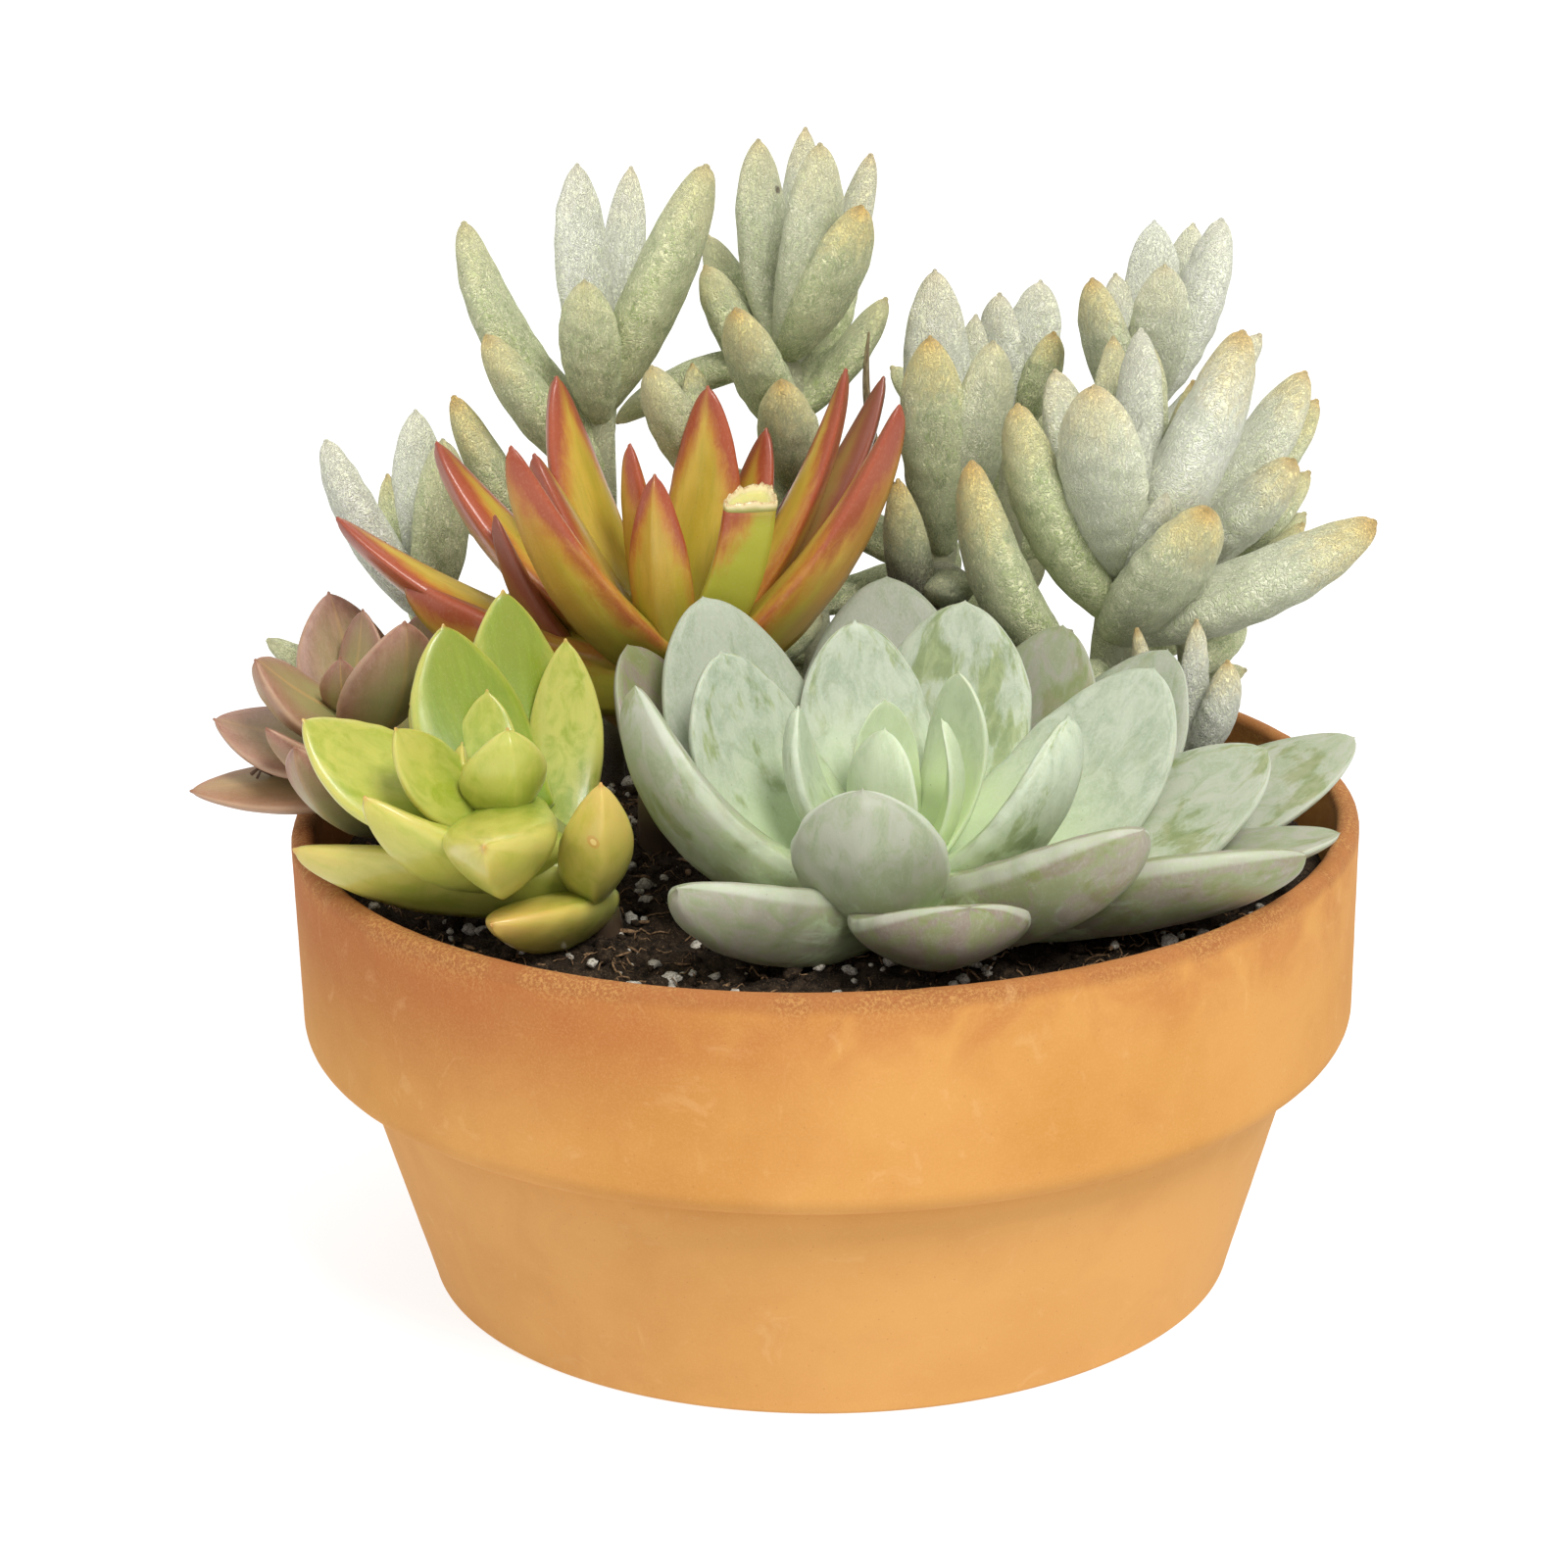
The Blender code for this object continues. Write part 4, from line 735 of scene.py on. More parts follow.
class Skin:
    """A material made of nodes, with short names for the nodes it needs."""

    def __init__(self, name):
        self.material = bpy.data.materials.new(name)
        self.material.use_nodes = True
        self.tree = self.material.node_tree
        self.shader = self.tree.nodes["Principled BSDF"]
        self.color = None

    def node(self, kind, **settings):
        """A new node with its settings."""
        made = self.tree.nodes.new(kind)
        for key, value in settings.items():
            setattr(made, key, value)
        return made

    def feed(self, socket, value):
        """Link a socket to an output, or set it to a value."""
        source = getattr(value, "socket", value)
        if isinstance(source, bpy.types.NodeSocket):
            self.tree.links.new(source, socket)
        else:
            socket.default_value = value

    def outcome(self, made, output, **inputs):
        """The value that a node gives for its inputs."""
        for name, value in inputs.items():
            self.feed(made.inputs[name.replace("_", " ")], value)
        return Value(self, made.outputs[output])

    def value(self, name):
        """A value that the surface carries at each point."""
        return self.outcome(self.node("ShaderNodeAttribute", attribute_name=name), "Fac")

    def place(self, scale=1000.0):
        """Coordinates of the object itself, in millimetres unless scaled."""
        source = self.node("ShaderNodeTexCoord").outputs["Object"]
        return self.stretched(source, (scale, scale, scale))

    def stretched(self, source, scale):
        """Coordinates times a scale on each axis."""
        made = self.node("ShaderNodeVectorMath", operation="MULTIPLY")
        self.feed(made.inputs[0], source)
        made.inputs[1].default_value = scale
        return made.outputs["Vector"]

    def noise(self, source, scale, detail=2.0, rough=0.5, distortion=0.0):
        """Noise from 0 to 1, scale in features per unit of the source."""
        return self.outcome(self.node("ShaderNodeTexNoise"), "Fac", Vector=source, Scale=scale,
                            Detail=detail, Roughness=rough, Distortion=distortion)

    def cells(self, source, scale=1.0):
        """The distance to the nearest of scattered points."""
        return self.outcome(self.node("ShaderNodeTexVoronoi"), "Distance", Vector=source, Scale=scale)

    def math(self, operation, first, second):
        """Arithmetic on two values."""
        made = self.node("ShaderNodeMath", operation=operation)
        self.feed(made.inputs[0], first)
        self.feed(made.inputs[1], second)
        return Value(self, made.outputs["Value"])

    def mix(self, share, first, second):
        """A mix of two colours."""
        made = self.node("ShaderNodeMix", data_type="RGBA")
        self.feed(made.inputs["Factor"], share)
        for socket, color in ((made.inputs[6], first), (made.inputs[7], second)):
            self.feed(socket, (*color, 1.0) if isinstance(color, tuple) else color)
        return made.outputs[2]

    def paint(self, share, color):
        """Lay a colour over the colour so far, with a share at each point."""
        self.color = self.mix(share, self.color, color)

    def bump(self, height, distance, strength):
        """A bump of a height from 0 to 1, distance in millimetres."""
        made = self.node("ShaderNodeBump")
        self.feed(made.inputs["Height"], height)
        made.inputs["Distance"].default_value = distance * MM
        made.inputs["Strength"].default_value = strength
        return made.outputs["Normal"]

    def finish(self, roughness, normal=None, **constants):
        """Feed the shader, and set the values that are the same all over."""
        self.feed(self.shader.inputs["Base Color"], self.color)
        self.feed(self.shader.inputs["Roughness"], roughness)
        if normal:
            self.feed(self.shader.inputs["Normal"], normal)
        for name, value in constants.items():
            self.shader.inputs[name.replace("_", " ")].default_value = value
        return self.material


class LeafSkin(Skin):
    """A leaf's material, with the values that its surface carries."""

    def __init__(self, name):
        super().__init__(name)
        for key in Surface.NAMES:
            setattr(self, key, self.value(key))
        self.across = abs(self.across)

    def flow(self, across, along):
        """Coordinates in millimetres along and across the leaf, stretched."""
        source = self.node("ShaderNodeAttribute", attribute_name="flow").outputs["Vector"]
        return self.stretched(source, (across, along, 1.0))

    def leaf_noise(self, across, along, *character):
        """Noise with so many features per millimetre across and along the leaf."""
        return self.noise(self.flow(across, along), 1.0, *character)

    def specks(self, across, along, size):
        """1 on small specks, so many per millimetre across and along the leaf."""
        return self.cells(self.flow(across, along)) < size

    def spot(self):
        """How far a point is from the leaf's one mark, 1 at the mark's edge."""
        source = self.node("ShaderNodeAttribute", attribute_name="mark").outputs["Vector"]
        made = self.node("ShaderNodeVectorMath", operation="LENGTH")
        self.feed(made.inputs[0], source)
        return Value(self, made.outputs["Value"])

    def is_part(self, number):
        """1 where a point belongs to the part of a plant with this number."""
        return abs(self.part - number) < 0.5

    def paint_stem(self, color):
        """Lay the stem's colour over it, brown where it comes out of the soil."""
        stem = self.mix(self.along.step(0.12, 0.4), (0.075, 0.048, 0.03), color)
        self.paint(self.is_part(STEM_PART), stem)


def blue_skin():
    """A waxy leaf under a powdery bloom, rubbed to green in places."""
    skin = LeafSkin("blue_leaf_skin")
    along, across, tip, rub = skin.along, skin.across, skin.tip, skin.rub
    soft = skin.leaf_noise(0.10, 0.05, 3.0)
    cloud = skin.leaf_noise(0.26, 0.15, 6.0, 0.65, 0.8)
    streak = skin.leaf_noise(0.60, 0.14, 5.0, 0.65, 0.6)
    patch = skin.leaf_noise(0.13, 0.085, 5.0, 0.52, 0.4)
    blotch = skin.leaf_noise(0.20, 0.13, 5.0, 0.65, 0.8)
    crust = skin.leaf_noise(0.40, 0.28, 6.0, 0.7, 0.5)
    fine = skin.leaf_noise(2.4, 1.6, 5.0, 0.75)
    mint = skin.mix(skin.pale, (0.41, 0.52, 0.28), (0.62, 0.735, 0.40))
    bloom = skin.mix(cloud.step(0.34, 0.62), (0.30, 0.35, 0.27), (0.46, 0.51, 0.41))
    inner = (along + soft * 0.30).step(0.35, 0.95) - skin.pale * 0.55
    skin.color = skin.mix(inner.clamp(), mint, bloom)
    skin.paint(skin.dull * 0.75, (0.235, 0.26, 0.205))
    powder = fine.step(0.44, 0.62)
    skin.paint(powder * 0.22, (0.62, 0.67, 0.58))
    worn = streak * 0.25 + patch * 0.75 + rub * 0.10
    near_tip = along.step(0.15, 0.70, 0.12, 1.0)
    rubbed = worn.step(0.56, 0.66) * near_tip * rub.step(0.0, 0.5) * fine.step(0.25, 0.50, 0.70, 1.0)
    green = skin.mix(cloud.step(0.35, 0.65), (0.165, 0.225, 0.066), (0.28, 0.35, 0.12))
    skin.paint(rubbed * 0.80, green)
    reach = along + (blotch - 0.5) * 1.3 + across.step(0.5, 1.0, 0.0, 0.18)
    blush = reach.step(0.26, 0.62) * tip * fine.step(0.25, 0.6, 0.7, 1.0)
    tint = skin.mix(cloud.step(0.42, 0.58), (0.205, 0.220, 0.075), (0.225, 0.160, 0.125))
    skin.paint(blush * 0.88, tint)
    frost = crust.step(0.52, 0.64) * fine.step(0.40, 0.58) * tip
    skin.paint(frost * 0.25, (0.50, 0.48, 0.45))
    margin = across.step(0.955, 0.998)
    skin.paint(margin * 0.40, (0.66, 0.72, 0.58))
    skin.paint(skin.specks(0.36, 0.26, 0.045) * 0.45, (0.22, 0.17, 0.10))
    scar = (skin.spot() + fine * 0.8).step(1.0, 1.7, 1.0, 0.0)
    skin.paint(scar * 0.85, (0.22, 0.11, 0.045))
    skin.paint_stem((0.40, 0.44, 0.22))
    normal = skin.bump(fine * 0.5 + cloud * 1.2, 0.16, 0.6)
    return skin.finish(0.50 - rubbed * 0.20, normal, Specular_IOR_Level=0.45, Sheen_Weight=0.05,
                       Sheen_Roughness=0.5, Subsurface_Weight=0.08, Subsurface_Scale=0.002)


def lime_skin():
    """A glossy yellow green leaf, golden and pink towards the tips of some."""
    skin = LeafSkin("lime_leaf_skin")
    along, across, tip = skin.along, skin.across, skin.tip
    soft = skin.leaf_noise(0.10, 0.06, 3.0)
    wobble = soft - 0.5
    cloud = skin.leaf_noise(0.30, 0.20, 5.0, 0.6, 0.5)
    streak = skin.leaf_noise(0.7, 0.08, 5.0, 0.65)
    fine = skin.leaf_noise(2.8, 2.0, 4.0, 0.7)
    skin.color = skin.mix(cloud.step(0.3, 0.7), (0.28, 0.355, 0.026), (0.405, 0.445, 0.066))
    deep = (along + soft * 0.3).step(0.15, 0.80, 0.6, 0.0) + skin.rub.step(0.3, 0.8) * 0.9
    middle = (across + wobble).step(0.55, 0.95, 1.0, 0.35)
    skin.paint(deep.clamp() * middle, (0.160, 0.252, 0.010))
    skin.paint(streak.step(0.46, 0.66) * 0.30, (0.24, 0.36, 0.020))
    back = skin.upper.step(0.1, -0.3)
    skin.paint(back * 0.40, (0.50, 0.52, 0.095))
    pale = skin.pale * (cloud + wobble).step(0.25, 0.6)
    skin.paint(pale * 0.65, (0.56, 0.54, 0.14))
    edge = across.step(0.86, 1.0)
    skin.paint(edge * 0.50, (0.62, 0.59, 0.17))
    reach = along + wobble * 0.7
    warm = reach.step(0.20, 0.90) * tip
    skin.paint(warm * 0.66, (0.78, 0.52, 0.10))
    rosy = reach.step(0.68, 1.05) * tip
    skin.paint(rosy * 0.60, (0.62, 0.36, 0.13))
    end = along.step(0.97, 1.0)
    skin.paint(end * 0.7, (0.55, 0.28, 0.08))
    skin.paint(fine.step(0.5, 0.72) * 0.12, (0.62, 0.62, 0.26))
    skin.paint(skin.specks(0.30, 0.22, 0.035) * 0.45, (0.48, 0.28, 0.06))
    spot = skin.spot()
    skin.paint(spot.step(1.6, 1.9, 0.55, 0.0), (0.62, 0.30, 0.06))
    skin.paint(spot.step(0.75, 1.0, 0.9, 0.0), (0.86, 0.66, 0.22))
    skin.paint_stem((0.26, 0.29, 0.09))
    normal = skin.bump(streak + fine * 0.35, 0.10, 0.5)
    return skin.finish(fine.step(0.3, 0.7, 0.30, 0.44), normal, Specular_IOR_Level=0.5, Coat_Weight=0.25,
                       Coat_Roughness=0.16, Subsurface_Weight=0.15, Subsurface_Scale=0.003)


def bronze_skin():
    """A dusky mauve brown leaf with a green heart and pale edges."""
    skin = LeafSkin("bronze_leaf_skin")
    along, across, chance = skin.along, skin.across, skin.chance
    wobble = skin.leaf_noise(0.12, 0.07, 3.0) - 0.5
    cloud = skin.leaf_noise(0.40, 0.22, 6.0, 0.65, 0.6)
    streak = skin.leaf_noise(0.9, 0.10, 4.0, 0.6)
    fine = skin.leaf_noise(2.6, 1.6, 5.0, 0.7)
    skin.color = skin.mix(cloud.step(0.3, 0.7), (0.195, 0.083, 0.074), (0.36, 0.19, 0.16))
    skin.paint(chance.step(0.2, 0.8) * 0.40, (0.35, 0.165, 0.085))
    heart = (along + wobble * 0.7).step(0.46, 1.12, 1.0, 0.0)
    green = heart * across.step(0.30, 1.0, 1.0, 0.10) * chance.step(0.0, 1.0, 0.65, 1.0)
    skin.paint(green, (0.315, 0.315, 0.115))
    skin.paint(streak.step(0.5, 0.7) * 0.25, (0.43, 0.28, 0.19))
    keel = across.step(0.0, 0.10, 1.0, 0.0) * skin.rub
    skin.paint(keel * 0.75, (0.60, 0.37, 0.12))
    tan = along.step(0.1, 0.7) * skin.tip
    skin.paint(tan * 0.50, (0.42, 0.235, 0.11))
    edge = across.step(0.90, 1.0)
    skin.paint(edge * 0.45, (0.52, 0.36, 0.23))
    powder = fine.step(0.45, 0.7)
    skin.paint(powder * 0.18, (0.50, 0.37, 0.31))
    end = along.step(0.965, 1.0)
    skin.paint(end * 0.6, (0.22, 0.08, 0.04))
    skin.paint_stem((0.28, 0.21, 0.11))
    skin.paint(skin.is_part(ROOTLET_PART), (0.12, 0.07, 0.04))
    normal = skin.bump(fine + cloud, 0.12, 0.5)
    return skin.finish(0.46, normal, Specular_IOR_Level=0.45, Subsurface_Weight=0.08,
                       Subsurface_Scale=0.002)


def red_skin():
    """A glossy olive yellow leaf, red along its edges, keel and tip."""
    skin = LeafSkin("red_leaf_skin")
    along, across, tip = skin.along, skin.across, skin.tip
    soft = skin.leaf_noise(0.16, 0.05, 3.0)
    cloud = skin.leaf_noise(0.40, 0.16, 6.0, 0.68, 0.6)
    streak = skin.leaf_noise(0.9, 0.09, 5.0, 0.65)
    fine = skin.leaf_noise(2.8, 1.8, 4.0, 0.7)
    wobble = (soft - 0.5) * 0.40 + (cloud - 0.5) * 0.55
    skin.color = skin.mix(soft.step(0.3, 0.7), (0.48, 0.345, 0.034), (0.64, 0.455, 0.075))
    skin.paint(streak.step(0.45, 0.66) * 0.45, (0.37, 0.32, 0.030))
    skin.paint(along.step(0.05, 0.62, 0.85, 0.0), (0.44, 0.435, 0.050))
    fresh = skin.rub.step(0.5, 0.9)
    skin.paint(fresh, (0.42, 0.41, 0.045))
    side = (across * 0.80 + wobble + along.step(0.50, 1.0, 0.0, 0.62) + along.step(0.0, 0.25, -0.25, 0.0)
            + tip * 0.28 - fresh * 0.22)
    skin.paint(side.step(0.60, 0.98) * 0.85, (0.51, 0.205, 0.036))
    skin.paint(side.step(0.82, 1.18) * 0.95, (0.35, 0.066, 0.027))
    keel = skin.upper.step(-0.72, -0.98) * along.step(0.10, 0.5) * tip.step(0.2, 0.8)
    skin.paint(keel * 0.6, (0.34, 0.078, 0.028))
    end = (along + tip * 0.10).step(0.90, 1.06)
    skin.paint(end * 0.75, (0.27, 0.050, 0.024))
    skin.paint(skin.specks(0.85, 0.5, 0.07) * 0.35, (0.30, 0.08, 0.03))
    skin.paint(fine.step(0.48, 0.72) * 0.12, (0.66, 0.47, 0.30))
    skin.paint(skin.dull * 0.80, (0.20, 0.07, 0.045))
    skin.paint_stem((0.30, 0.25, 0.10))
    flesh = skin.mix(along.step(0.10, 0.55), (0.60, 0.56, 0.18), (0.74, 0.62, 0.34))
    dry = along.step(0.6, 1.0) * fine.step(0.4, 0.6)
    skin.paint(skin.is_part(CUT_PART), skin.mix(dry, flesh, (0.42, 0.25, 0.10)))
    normal = skin.bump(streak + fine * 0.4, 0.09, 0.5)
    return skin.finish(fine.step(0.3, 0.7, 0.28, 0.40), normal, Specular_IOR_Level=0.42, Coat_Weight=0.20,
                       Coat_Roughness=0.14, Subsurface_Weight=0.08, Subsurface_Scale=0.002)


def woolly_skin():
    """A grey green leaf under a felt of fine white hairs."""
    skin = LeafSkin("woolly_leaf_skin")
    along, tip, pale, dull = skin.along, skin.tip, skin.pale, skin.dull
    soft = skin.leaf_noise(0.15, 0.08, 3.0)
    mottle = skin.leaf_noise(0.34, 0.24, 5.0, 0.6, 1.0)
    curl = skin.leaf_noise(1.0, 0.40, 2.0, 0.5, 2.0)
    fibre = skin.leaf_noise(1.9, 0.9, 2.0, 0.5, 2.0)
    strand = abs(curl - 0.5).step(0.0, 0.068, 1.0, 0.0)
    thread = abs(fibre - 0.5).step(0.0, 0.085, 1.0, 0.0)
    hairs = strand * 0.75 + thread * 0.40
    green = skin.mix(soft.step(0.3, 0.7), (0.165, 0.245, 0.058), (0.28, 0.37, 0.118))
    green = skin.mix(pale.step(0.40, 1.0) * 0.80, green, (0.82, 0.87, 0.62))
    white = skin.mix(pale.step(0.3, 1.0), (0.90, 0.92, 0.56), (1.0, 1.0, 0.91))
    cover = (mottle + pale * 0.12).step(0.36, 0.62, 0.10, 0.42) + hairs
    skin.color = skin.mix(cover.clamp(), green, white)
    # Painted light: paler and creamier towards the tip, where these upright leaves catch the most light.
    skin.paint(along.step(0.45, 1.0) * 0.22, (0.93, 0.94, 0.72))
    gold_end = along + (mottle - 0.5) * 0.40
    warm = gold_end.step(0.66, 1.00) * tip
    skin.paint(warm * 0.75, (0.86, 0.68, 0.24))
    end = along.step(0.92, 0.995) * tip
    skin.paint(end * 0.80, (0.70, 0.42, 0.10))
    withered = along.step(0.55, 0.80, 1.0, 0.0) * dull.step(0.1, 0.8) * (1.0 - hairs * 0.55)
    skin.paint(withered, (0.14, 0.115, 0.09))
    dried = skin.mix(mottle.step(0.4, 0.6), (0.26, 0.16, 0.07), (0.56, 0.44, 0.22))
    skin.paint(dull.step(0.85, 0.98), dried)
    skin.paint(skin.specks(0.24, 0.18, 0.03) * 0.55, (0.20, 0.15, 0.08))
    mark = (skin.spot() + fibre * 0.9).step(1.0, 1.6, 1.0, 0.0)
    skin.paint(mark * 0.85, (0.10, 0.06, 0.03))
    skin.paint_stem((0.60, 0.61, 0.38))
    normal = skin.bump(mottle * 0.15 + hairs, 0.42, 0.9)
    return skin.finish(0.92, normal, Specular_IOR_Level=0.12, Sheen_Weight=0.34, Sheen_Roughness=0.5,
                       Sheen_Tint=(0.97, 1.0, 0.88, 1.0))


def pan_skin():
    """Unglazed clay, sandy along the lip and redder where it is damp, with painted shade darkening its left
    side and the top of its lip.
    """
    skin = Skin("terracotta_skin")
    place = skin.place()
    split = skin.node("ShaderNodeSeparateXYZ")
    skin.feed(split.inputs[0], place)
    side = Value(skin, split.outputs["X"])
    height = Value(skin, split.outputs["Z"])
    cloud = skin.noise(place, 0.022, 4.0, 0.55)
    patch = skin.noise(place, 0.06, 5.0, 0.6, 0.5)
    grain = skin.noise(place, 2.4, 4.0, 0.7)
    sand = skin.noise(place, 1.7, 5.0, 0.75)
    rings = skin.noise(skin.stretched(place, (0.01, 0.01, 0.9)), 1.0)
    skin.color = skin.mix(cloud.step(0.35, 0.65), (0.54, 0.248, 0.054), (0.61, 0.300, 0.080))
    body = height.step(50.0, 42.0)
    skin.paint(body * 0.5, (0.68, 0.36, 0.12))
    # The clay redder and darker towards the left and up the band: partly its own colour, partly painted
    # shade on the side turned away from the key light.
    left = side.step(-70.0, 20.0, 1.0, 0.0)
    high = height.step(52.0, 92.0)
    red = left * (high * 0.90 + 0.12) + (patch - 0.5) * 0.5
    skin.paint(red.clamp(), (0.385, 0.122, 0.032))
    damp = height.step(70.0, 87.0) * patch.step(0.35, 0.6) * 0.6
    skin.paint(damp, (0.44, 0.145, 0.038))
    # Painted shade along the top of the lip: darker and redder, partly the shade at its inner edge, partly
    # damp clay.
    worn = height.step(86.5, 89.5) * patch.step(0.30, 0.60, 0.65, 0.95)
    skin.paint(worn, (0.33, 0.115, 0.034))
    sandy = height.step(82.0, 89.0) * sand.step(0.46, 0.58) * patch.step(0.44, 0.56)
    skin.paint(sandy * 0.45, (0.66, 0.37, 0.11))
    smudge = skin.noise(place, 0.10, 6.0, 0.62, 1.5).step(0.58, 0.72)
    skin.paint(smudge * 0.22, (0.72, 0.43, 0.19))
    skin.paint(grain.step(0.40, 0.75) * 0.20, (0.72, 0.41, 0.16))
    dark = skin.cells(place, 0.45) < 0.07
    skin.paint(dark * 0.35, (0.36, 0.13, 0.05))
    normal = skin.bump(grain * 0.35 + rings * 0.5 + sandy * 0.6, 0.16, 0.5)
    return skin.finish(0.86, normal, Specular_IOR_Level=0.25)


def soil_skin():
    """Damp peat, nearly black, with brown fibres."""
    skin = Skin("potting_soil_skin")
    place = skin.place()
    lumps = skin.noise(place, 0.5, 6.0, 0.7)
    fine = skin.noise(place, 2.5, 5.0, 0.7)
    skin.color = skin.mix(lumps.step(0.35, 0.7), (0.009, 0.006, 0.004), (0.058, 0.038, 0.023))
    skin.paint(fine.step(0.52, 0.66) * 0.65, (0.17, 0.115, 0.068))
    return skin.finish(0.95, skin.bump(lumps + fine * 0.5, 0.6, 0.9), Specular_IOR_Level=0.2)


def perlite_skin():
    """Rough white perlite, a little stained."""
    skin = Skin("perlite_skin")
    pits = skin.noise(skin.place(), 2.2, 4.0, 0.7)
    skin.color = skin.mix(pits.step(0.35, 0.6), (0.24, 0.21, 0.16), (0.70, 0.655, 0.57))
    return skin.finish(0.9, skin.bump(pits, 0.4, 0.8))


def bark_skin():
    """Chips of bark and fibre."""
    skin = Skin("bark_skin")
    grain = skin.noise(skin.place(), 1.5, 4.0, 0.7)
    skin.color = skin.mix(grain.step(0.35, 0.65), (0.09, 0.045, 0.02), (0.33, 0.20, 0.10))
    return skin.finish(0.9, skin.bump(grain, 0.3, 0.7))


# The pan and the soil

def turned_piece(name, profile, steps, material):
    """A piece turned round Z from a profile of (radius, height) points."""
    surface = Surface()
    turn = turns(steps)
    radii, heights = np.array(profile[1:-1]).T[:, :, None]
    points = np.stack([radii * np.cos(turn), radii * np.sin(turn), np.repeat(heights, steps, axis=1)],
                      axis=2)
    points = with_ends(points.reshape(-1, 3), (0.0, 0.0, heights[0, 0]), (0.0, 0.0, heights[-1, 0]))
    surface.add(points, ring_faces(len(radii), steps))
    return surface.piece(name, material)


def arc(middle, radius, start, end, steps):
    """Points on an arc of a profile, its angles in degrees."""
    angles = [math.radians(start + (end - start) * index / steps) for index in range(steps + 1)]
    return [(middle[0] + radius * math.cos(angle), middle[1] + radius * math.sin(angle))
            for angle in angles]


def inner_wall(offset):
    """The inside of the pan as a profile from its floor up, moved inwards."""
    floor = FLOOR_THICKNESS + offset
    wall = BODY_TOP_RADIUS - WALL_THICKNESS - offset
    low = BASE_RADIUS - WALL_THICKNESS - offset
    lip = LIP_INNER_RADIUS - offset
    return [(low - 3.0, floor), (low, floor + 1.2), (low + 1.4, floor + 4.5), (wall, BAND_BOTTOM - 3.0),
            (wall + 3.4, BAND_BOTTOM + 2.5), (lip - 1.2, PAN_HEIGHT - 14.0)]


def between(start, end, steps):
    """Points on a straight stretch of a profile, without its ends."""
    return [(start[0] + (end[0] - start[0]) * index / steps, start[1] + (end[1] - start[1]) * index / steps)
            for index in range(1, steps)]


def pan_profile():
    """The pan's outline: up its inside, over the lip and down its outside."""
    lip = arc((LIP_INNER_RADIUS + 1.7, PAN_HEIGHT - 1.7), 1.7, 180, 90, 6)
    lip += arc((RIM_RADIUS - 2.3, PAN_HEIGHT - 2.4), 2.3, 85, 0, 8)
    corner = arc((RIM_RADIUS - 0.7 - BAND_CORNER, BAND_BOTTOM + BAND_CORNER), BAND_CORNER, 0, -90, 14)
    band = between(lip[-1], corner[0], 14) + corner
    fillet = arc((BODY_TOP_RADIUS + 1.4, BAND_BOTTOM - 1.4), 1.4, 90, 180, 6)
    foot = arc((BASE_RADIUS - 1.0, 1.1), 1.1, 0, -90, 6)
    body = fillet + between(fillet[-1], foot[0], 16) + foot
    under = between(foot[-1], (0.0, 0.0), 24)
    inside = inner_wall(0.0)
    floor = between((0.0, FLOOR_THICKNESS), inside[0], 20)
    wall = inside[:4] + between(inside[3], inside[4], 3) + inside[4:]
    wall += between(inside[-1], lip[0], 8)
    return [(0.0, FLOOR_THICKNESS)] + floor + wall + lip + band + body + under + [(0.0, 0.0)]


def wear_pan(pan):
    """Small unevenness of a pressed clay pan, strongest along its lip."""
    for vert in pan.data.vertices:
        place = vert.co / MM
        if place.z <= FOOT_HEIGHT:
            continue
        lip = max(0.0, min(1.0, (place.z - PAN_HEIGHT + WORN_HEIGHT) / WORN_HEIGHT))
        outward = Vector((place.x, place.y, 0.0)).normalized()
        rough = noise.noise(place * 0.9) * 0.10 * lip + noise.noise(place * 0.035) * 0.25 * lip
        rough += noise.noise(place * 0.25) * 0.05
        chip = noise.noise(place * 0.16 + Vector((7.0, 3.0, 1.0)))
        dent = max(0.0, chip - 0.45) * 2.2 * lip
        vert.co += outward * (rough - dent) * MM
        vert.co.z -= (dent * 0.7 + abs(rough) * 0.2) * lip * MM


def drain_cutters():
    """Plugs where the pan's drain holes go, in a collection of their own."""
    cutters = bpy.data.collections.new("drain_cutters")
    bpy.context.scene.collection.children.link(cutters)
    for index in range(DRAIN_HOLES):
        angle = math.tau * index / DRAIN_HOLES + DRAIN_TURN
        shape = bmesh.new()
        bmesh.ops.create_cone(shape, cap_ends=True, segments=DRAIN_SIDES, radius1=DRAIN_HOLE_RADIUS * MM,
                              radius2=DRAIN_HOLE_RADIUS * MM, depth=DRAIN_PLUG_LENGTH * MM)
        mesh = bpy.data.meshes.new("drain")
        shape.to_mesh(mesh)
        shape.free()
        cutter = bpy.data.objects.new("drain", mesh)
        x, y = DRAIN_RING_RADIUS * math.cos(angle), DRAIN_RING_RADIUS * math.sin(angle)
        cutter.location = (x * MM, y * MM, FLOOR_THICKNESS / 2 * MM)
        cutters.objects.link(cutter)
    return cutters


def make_pan(material):
    """The pan, with its drain holes."""
    pan = turned_piece("clay_pan", pan_profile(), PAN_STEPS, material)
    wear_pan(pan)
    cutters = drain_cutters()
    holes = pan.modifiers.new("drains", "BOOLEAN")
    holes.operation = "DIFFERENCE"
    holes.operand_type = "COLLECTION"
    holes.collection = cutters
    holes.solver = "EXACT"
    view = bpy.context.evaluated_depsgraph_get()
    view.update()
    cut = bpy.data.meshes.new_from_object(pan.evaluated_get(view))
    pan.modifiers.clear()
    pan.data = cut
    pan.data.set_sharp_from_angle(angle=SHARP_ANGLE)
    for thing in list(cutters.objects):
        bpy.data.objects.remove(thing)
    bpy.data.collections.remove(cutters)
    return pan


